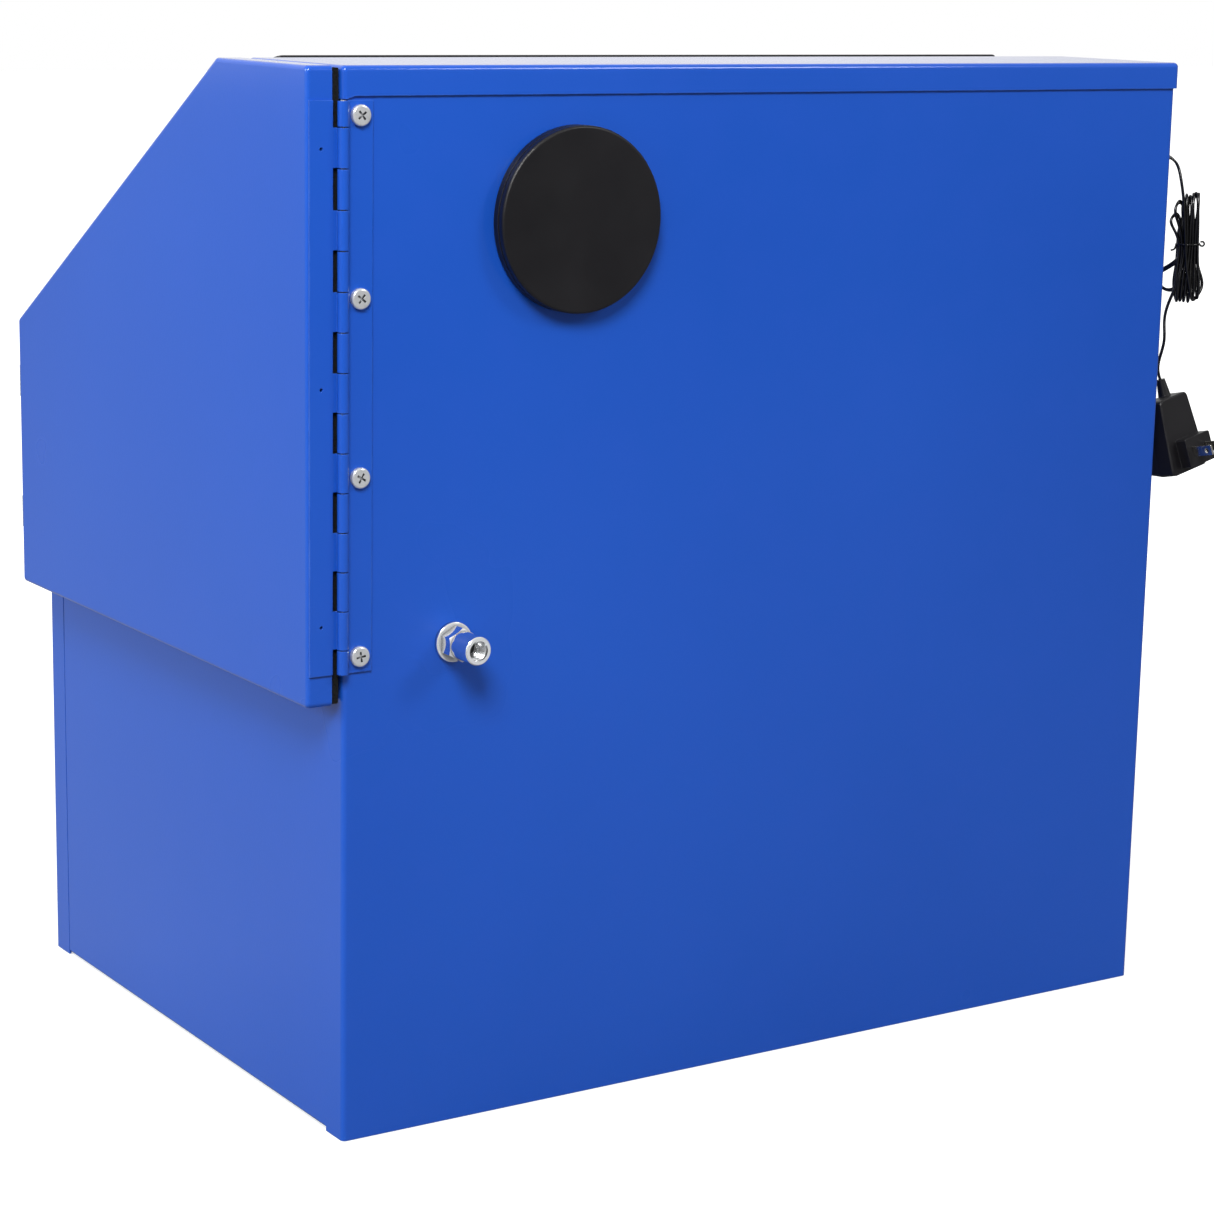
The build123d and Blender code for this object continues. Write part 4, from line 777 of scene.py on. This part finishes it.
def air_hose():
    """Wrapped rubber hose: a faint spiral from its cloth wrapping, swollen a little over its tails."""
    points = [mm(*p) for p in AIR_HOSE] + [GRIP_END - GRIP_WAY * 0.024, GRIP_END]
    path = through(points, 0.0016)
    length = 0.0016 * len(path)

    def section(share):
        end = min(share, 1 - share) * length
        swell = 0.28 * MM * max(0.0, 1 - max(0.0, end - 0.016) / 0.006) if end < 0.022 else 0.0
        ring = []
        for k in range(22):
            turn = 2 * math.pi * k / 22
            wrap = 0.11 * MM * math.sin(turn * 2 + share * length * 900)
            radius = 6.4 * MM + wrap + swell
            ring.append((radius * math.cos(turn), radius * math.sin(turn)))
        return ring

    obj = piece("air_line", skin(path, section), "black_rubber", "cabinet", smooth=70)
    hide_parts("air_hose")
    ear_clamp("air_clamp_inlet", mm(226, 177, 282.7), (0, -1, 0), 6.9 * MM, 6 * MM, 0.6)
    ear_clamp("air_clamp_grip", GRIP_END - GRIP_WAY * 0.008, GRIP_WAY, 6.9 * MM, 6 * MM, 2.2)


def media_hose():
    """Clear siphon hose, hollow to its ends and cloudy with dust."""
    out = (PICKUP_TOP - PICKUP_LOW).normalized()
    points = [PICKUP_TOP, PICKUP_TOP + out * 0.022] + [mm(*p) for p in MEDIA_HOSE]
    points += [GUN_BRANCH - BRANCH_WAY * 0.022, GUN_BRANCH]
    path = through(points, 0.003)
    mesh = pipe(path, lambda share: (7.9 + 0.06 * math.sin(share * 420)) * MM, 6.15 * MM)
    obj = piece("media_line", mesh, "hose_vinyl", "cabinet", smooth=60)
    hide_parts("media_hose")
    ear_clamp("media_clamp_low", PICKUP_TOP + out * 0.009, out, 8.0 * MM, 6 * MM, 1.0)
    ear_clamp("media_clamp_gun", GUN_BRANCH - BRANCH_WAY * 0.009, BRANCH_WAY, 8.0 * MM, 6 * MM, 3.0)


def wiring():
    """Lamp and switch leads: flat two-core cable."""
    to_grommet = [(-149, 140, 590), (-156, 140.5, 590), (-205, 148, 588), (-258, 164, 574), (-276, 172, 553)]
    to_grommet += [(-286, 172, 546), (-293, 172, 545)]
    to_switch = [(-149, 126, 588), (-161, 125, 588), (-215, 84, 578), (-272, 20, 545), (-284, -60, 485)]
    to_switch += [(-283, -130, 420), (-266, -166, 388), (-256, -176, 379), (-256, -185.4, 378)]
    leads = [skin(through([mm(*p) for p in way], 0.0022), twin_lead) for way in (to_grommet, to_switch)]
    obj = piece("lamp_leads", joined(*leads), "cord_vinyl", "cabinet", smooth=70)
    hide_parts("light_wiring")


def inlet_thread():
    """The female thread inside the air inlet's mouth."""
    low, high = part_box("inlet_fitting")
    axis = (low + high) / 2
    pitch, depth, turns = 1.34 * MM, 0.62 * MM, 9
    radius = 5.70 * MM
    path = []
    for k in range(turns * 28):
        angle = 2 * math.pi * k / 28
        along = high.y - 1.6 * MM - pitch * k / 28
        path.append(Vector((axis.x + radius * math.cos(angle), along, axis.z + radius * math.sin(angle))))
    verts, faces = [], []
    for point in path:
        inward = Vector((axis.x - point.x, 0, axis.z - point.z)).normalized()
        verts += [point + Vector((0, 0.55 * MM, 0)), point + inward * depth + Vector((0, 0.08 * MM, 0))]
        verts += [point + inward * depth - Vector((0, 0.08 * MM, 0)), point - Vector((0, 0.55 * MM, 0))]
    for i in range(len(path) - 1):
        for k in range(4):
            nxt = (k + 1) % 4
            faces.append((i * 4 + k, i * 4 + nxt, i * 4 + 4 + nxt, i * 4 + 4 + k))
    last = len(verts)
    faces += [(3, 2, 1, 0), (last - 4, last - 3, last - 2, last - 1)]
    piece("inlet_thread", (verts, faces), "zinc", "cabinet", smooth=35)


# ---------------------------------------------------------------- gloves

PORT_X = 0.125
PORT_Z = 0.304
CUFF_R = 0.0800
CUFF_DEPTH = -0.166
CUFF_TRIM = -0.1935
CUFF_EDGE = -0.1955
SIM_STEPS = 22
STRAY_CAP = 0.010


def ball_bar(bm, start, end, radius, thin=1.0):
    """Adds a bar with round ends. thin is the end's radius as a share of the start's."""
    bars = 7
    way = (end - start).normalized()
    u = way.orthogonal().normalized()
    v = way.cross(u)
    rings = []
    for k in range(bars):
        turn = math.pi / 2 * (1 - k / (bars - 1))
        rings.append((start - way * radius * math.sin(turn), radius * math.cos(turn)))
    tip = radius * thin
    for k in range(1, bars):
        turn = math.pi / 2 * k / (bars - 1)
        rings.append((end + way * tip * math.sin(turn), tip * math.cos(turn)))
    count = 18
    loops = []
    for centre, r in rings[1:-1]:
        loops.append([bm.verts.new(centre + u * a * r + v * b * r) for a, b in circle(1.0, count)])
    first, last = bm.verts.new(rings[0][0]), bm.verts.new(rings[-1][0])
    for a, b in zip(loops, loops[1:]):
        for k in range(count):
            bm.faces.new((a[k], a[(k + 1) % count], b[(k + 1) % count], b[k]))
    for k in range(count):
        bm.faces.new((first, loops[0][(k + 1) % count], loops[0][k]))
        bm.faces.new((loops[-1][k], loops[-1][(k + 1) % count], last))


def glove_form(x):
    """Closed rough form of one gauntlet: sleeve, palm, four fingers and a thumb, as overlapping solids."""
    way = 1 if x > 0 else -1
    bm = bmesh.new()
    sleeve = [(0, -198, 0, 80.0), (0, -182, 0, 80.0), (0, -166, 0, 79.6), (1, -150, -1, 77)]
    sleeve += [(2, -134, -3, 71), (2, -118, -7, 64), (3, -102, -12, 57), (4, -86, -19, 51)]
    sleeve += [(5, -70, -27, 45.5), (6, -50, -37, 40)]
    sleeve += [(8, -30, -46, 36), (9, -14, -51, 33.5)]
    count = 72
    loops = []
    for shift, y, drop, radius in sleeve:
        lean = 0.0 if y < -150 else math.radians(min(22.0, (y + 150) * 0.3))
        flat = 1.0 - 0.28 * max(0.0, min(1.0, (y + 90) / 76))
        ring = []
        for a, b in circle(1.0, count):
            wide = radius * a * (1 + (1 - flat) * 0.5)
            tall = radius * b * flat
            ring.append(bm.verts.new(mm(
                x / MM - way * shift + wide,
                y + tall * math.sin(lean),
                PORT_Z / MM + drop + tall * math.cos(lean),
            )))
        loops.append(ring)
    for a, b in zip(loops, loops[1:]):
        for k in range(count):
            bm.faces.new((a[k], a[(k + 1) % count], b[(k + 1) % count], b[k]))
    bm.faces.new(loops[0])
    bm.faces.new(list(reversed(loops[-1])))
    hand_x = x / MM - way * 9
    palm = [(-0.38, -16, 0), (-0.14, -16, 1.5), (0.12, -15, 1.5), (0.36, -14, -0.5)]
    for share, start_y, rise in palm:
        across = hand_x + way * share * 62
        start = mm(across * 0.86 + hand_x * 0.14, start_y - 6, 251 + rise)
        ball_bar(bm, start, mm(across, 40, 240 + rise), 16.5 * MM, 0.95)
    fingers = ((96, 0, 10.6), (104, 1.5, 11.2), (100, 1, 11.0), (84, -0.5, 9.8))
    for i, (reach, lift, thick) in enumerate(fingers):
        across = hand_x + way * (i - 1.5) * 20
        spread = way * (i - 1.5) * 1.6
        knuckle = mm(across, 40, 241)
        middle = mm(across + spread, (40 + reach) / 2 + 4, 240 + lift)
        ball_bar(bm, knuckle, middle, (thick + 1.2) * MM, 0.93)
        ball_bar(bm, middle, mm(across + spread * 1.5, reach - 2, 232.5), thick * MM, 0.86)
    thumb = hand_x - way * 26
    ball_bar(bm, mm(thumb, -8, 246), mm(thumb - way * 13, 18, 241), 15 * MM, 0.85)
    ball_bar(bm, mm(thumb - way * 13, 18, 241), mm(thumb - way * 22, 44, 238), 12.4 * MM, 0.88)
    bmesh.ops.recalc_face_normals(bm, faces=bm.faces)
    mesh = bpy.data.meshes.new("glove_form")
    bm.to_mesh(mesh)
    bm.free()
    return mesh


def baked(obj):
    """The object's mesh with its modifiers applied."""
    graph = bpy.context.evaluated_depsgraph_get()
    mesh = bpy.data.meshes.new_from_object(obj.evaluated_get(graph))
    obj.modifiers.clear()
    obj.data = mesh
    return mesh


def sag(obj):
    """Cloth simulation of a glove's sleeve, held at cuff and hand, cut a little long so that it wrinkles."""
    mesh = obj.data
    held = obj.vertex_groups.new(name="held")
    before = [v.co.copy() for v in mesh.vertices]
    for v in mesh.vertices:
        y = v.co.y
        grip = 1.0 if y < CUFF_DEPTH or y > -0.012 else 0.0
        held.add([v.index], grip, "REPLACE")
    cloth = obj.modifiers.new("cloth", "CLOTH")
    cloth.settings.quality = 5
    cloth.settings.mass = 0.25
    cloth.settings.tension_stiffness = 25
    cloth.settings.compression_stiffness = 25
    cloth.settings.shear_stiffness = 12
    cloth.settings.bending_stiffness = 1.6
    cloth.settings.vertex_group_mass = "held"
    cloth.settings.shrink_min = -0.085
    cloth.settings.effector_weights.gravity = 0.35
    cloth.collision_settings.use_collision = False
    for step in range(1, SIM_STEPS + 1):
        scene.frame_set(step)
    mesh = baked(obj)
    scene.frame_set(1)
    for v, old in zip(mesh.vertices, before):
        move = v.co - old
        if move.length > STRAY_CAP:
            move = move.normalized() * STRAY_CAP
        v.co = old + move


def glove(node, name, x):
    """Heavy rubber gauntlet: a voxel-remeshed skin, creased where it narrows and bends, open at the cuff."""
    obj = bpy.data.objects.new(name, glove_form(x))
    scene.collection.objects.link(obj)
    remesh = obj.modifiers.new("skin", "REMESH")
    remesh.mode = "VOXEL"
    remesh.voxel_size = 0.0036
    smooth = obj.modifiers.new("smooth", "SMOOTH")
    smooth.factor = 0.5
    smooth.iterations = 6
    mesh = baked(obj)
    bm = bmesh.new()
    bm.from_mesh(mesh)
    open_end = [f for f in bm.faces if f.calc_center_median().y < CUFF_TRIM]
    bmesh.ops.delete(bm, geom=open_end, context="FACES")
    bmesh.ops.delete(bm, geom=[v for v in bm.verts if not v.link_faces], context="VERTS")
    bm.to_mesh(mesh)
    bm.free()
    sag(obj)
    mesh = obj.data
    for v in mesh.vertices:
        v.co += glove_crease(v.co, v.normal, x)
    for v in mesh.vertices:
        hold = 1.0 - min(1.0, max(0.0, (v.co.y - CUFF_DEPTH) / 0.014))
        if hold > 0:
            out = Vector((v.co.x - x, 0, v.co.z - PORT_Z))
            true = out.normalized() * CUFF_R
            v.co.x += (true.x - out.x) * hold
            v.co.z += (true.z - out.z) * hold
            if v.co.y < -0.190:
                v.co.y = CUFF_EDGE
    thick = obj.modifiers.new("thick", "SOLIDIFY")
    thick.thickness = 1.5 * MM
    thick.offset = -1.0
    thick.use_even_offset = False
    baked(obj)
    finished = obj.data
    finished.materials.append(FINISHES["black_rubber"])
    finished.polygons.foreach_set("use_smooth", [True] * len(finished.polygons))
    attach(obj, "cabinet")
    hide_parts(node)


def glove_crease(spot, normal, x):
    """How far one point of a glove's skin moves: ring creases on the sleeve, folds at the knuckles."""
    y = spot.y / MM
    along = spot.z * 26 + noise.noise(spot * 14 + Vector((x * 8, 0, 0))) * 1.3
    sleeve = max(0.0, min(1.0, (y + 158) / 30)) * max(0.0, min(1.0, (28 - y) / 30))
    folds = math.sin(y * 0.34 + along * 2.2 + 2.6 * noise.noise(spot * 22))
    depth = 0.9 * sleeve * (folds * 0.8 + noise.noise(spot * 60))
    knuckles = max(0.0, 1 - abs(y - 62) / 5) * math.sin(y * 2.4) * 0.35
    skin_noise = noise.noise(spot * 160) * 0.22 * (0.3 + sleeve)
    return normal * ((depth + knuckles + skin_noise) * MM)


door_seal()
window_seal()
grommet()
cord_run()
cord_tie()
air_hose()
media_hose()
wiring()
inlet_thread()
glove("glove_left", "gauntlet_left", -PORT_X)
glove("glove_right", "gauntlet_right", PORT_X)


# ---------------------------------------------------------------- studio

CAMERA_AT = mm(1071.56, 1661.02, 658.56)
CAMERA_TURN = math.radians(-33.05)
CAMERA_TILT = math.radians(-11.90)
CAMERA_ROLL = math.radians(1.10)
CAMERA_LENS = 91.553
BRIGHT_WAY = (0.50, -0.80, 0.33)
COOL = (0.93, 1.12, 1.0)
FLOOR_REACH = 14.0


def camera():
    """A long lens behind the cabinet, on the door's side and a little above the roof."""
    data = bpy.data.cameras.new("camera")
    data.lens = CAMERA_LENS
    data.sensor_width = 36.0
    data.clip_start = 0.05
    data.clip_end = 60.0
    obj = bpy.data.objects.new("camera", data)
    across = math.cos(CAMERA_TILT)
    turn_x, turn_y = math.sin(CAMERA_TURN), -math.cos(CAMERA_TURN)
    ahead = Vector((across * turn_x, across * turn_y, math.sin(CAMERA_TILT)))
    obj.location = CAMERA_AT
    aimed = ahead.to_track_quat("-Z", "Y") @ Quaternion((0, 0, 1), CAMERA_ROLL)
    obj.rotation_euler = aimed.to_euler()
    scene.collection.objects.link(obj)
    scene.camera = obj


def soft_light(name, at, aim, size, power, colour=(1, 1, 1)):
    """A round soft box at a point, facing another."""
    data = bpy.data.lights.new(name, "AREA")
    data.shape = "DISK"
    data.size = size
    data.energy = power
    data.color = colour
    obj = bpy.data.objects.new(name, data)
    obj.location = at
    obj.rotation_euler = (Vector(aim) - Vector(at)).to_track_quat("-Z", "Y").to_euler()
    scene.collection.objects.link(obj)


def surroundings():
    """White for the camera, and for light and reflections a gradient that is brighter to the front."""
    world = bpy.data.worlds.new("studio")
    world.use_nodes = True
    scene.world = world
    nodes, links = world.node_tree.nodes, world.node_tree.links
    lit = nodes["Background"]
    lit.inputs["Color"].default_value = (1, 1, 1, 1)
    coords = nodes.new("ShaderNodeTexCoord")
    aim = nodes.new("ShaderNodeVectorMath")
    aim.operation = "DOT_PRODUCT"
    aim.inputs[1].default_value = BRIGHT_WAY
    links.new(coords.outputs["Generated"], aim.inputs[0])
    reach = nodes.new("ShaderNodeMapRange")
    for key, value in (("From Min", -0.35), ("From Max", 0.35), ("To Min", 0.27), ("To Max", 0.86)):
        reach.inputs[key].default_value = value
    links.new(aim.outputs["Value"], reach.inputs["Value"])
    links.new(reach.outputs["Result"], lit.inputs["Strength"])
    seen = nodes.new("ShaderNodeBackground")
    seen.inputs["Color"].default_value = (1, 1, 1, 1)
    path = nodes.new("ShaderNodeLightPath")
    pick = nodes.new("ShaderNodeMixShader")
    links.new(path.outputs["Is Camera Ray"], pick.inputs[0])
    links.new(lit.outputs[0], pick.inputs[1])
    links.new(seen.outputs[0], pick.inputs[2])
    links.new(pick.outputs[0], nodes["World Output"].inputs["Surface"])


def pale_floor():
    """Plain pale paper that glows, fading to white away from the cabinet. To light and reflections it is dark
    grey, with a glow brighter to the front that stands in for bounce light.
    """
    s = Shader("floor", roughness=0.8, Specular_IOR_Level=0.1)
    paper = s.noise(120, 4)
    camera_ray = s.add("ShaderNodeLightPath").outputs["Is Camera Ray"]
    pale = s.mix(s.span(paper, 0.3, 0.7), (0.52, 0.52, 0.52), (0.56, 0.56, 0.56))
    s.set("Base Color", s.mix(camera_ray, (0.16, 0.16, 0.17), pale))
    away = s.add("ShaderNodeVectorMath", {0: s.where}, operation="LENGTH").outputs["Value"]
    # Glow: emission that whitens the floor for the camera, and a stand-in bounce light for other rays.
    glow = s.span(away, 0.4, 1.6, 0.66, 1.0)
    dot = s.add("ShaderNodeVectorMath", {0: s.where, 1: BRIGHT_WAY}, operation="DOT_PRODUCT")
    side = dot.outputs["Value"]
    bounce = s.span(side, -0.1, 0.3, 0.03, 0.17)
    s.set("Emission Color", (1, 1, 1, 1))
    shown = s.times(camera_ray, glow)
    hidden = s.times(s.sum(1.0, camera_ray, "SUBTRACT"), bounce)
    s.set("Emission Strength", s.sum(shown, hidden))
    mesh = bpy.data.meshes.new("floor")
    corners = [(FLOOR_REACH * x, FLOOR_REACH * y, 0) for x, y in ((-1, -1), (1, -1), (1, 1), (-1, 1))]
    mesh.from_pydata(corners, [], [(0, 1, 2, 3)])
    mesh.materials.append(s.material)
    floor = bpy.data.objects.new("floor", mesh)
    floor.location.z = -0.0004
    scene.collection.objects.link(floor)


def studio():
    surroundings()
    pale_floor()
    soft_light("key", (1.15, 1.55, 1.75), (0.15, 0.15, 0.5), 0.8, 47)
    soft_light("side", (2.6, -0.4, 1.2), (0.3, 0, 0.3), 1.0, 28, COOL)
    soft_light("fill", (-1.7, 2.3, 2.2), (0.0, 0.1, 0.4), 0.9, 26)
    scene.view_settings.view_transform = "Standard"


camera()
studio()
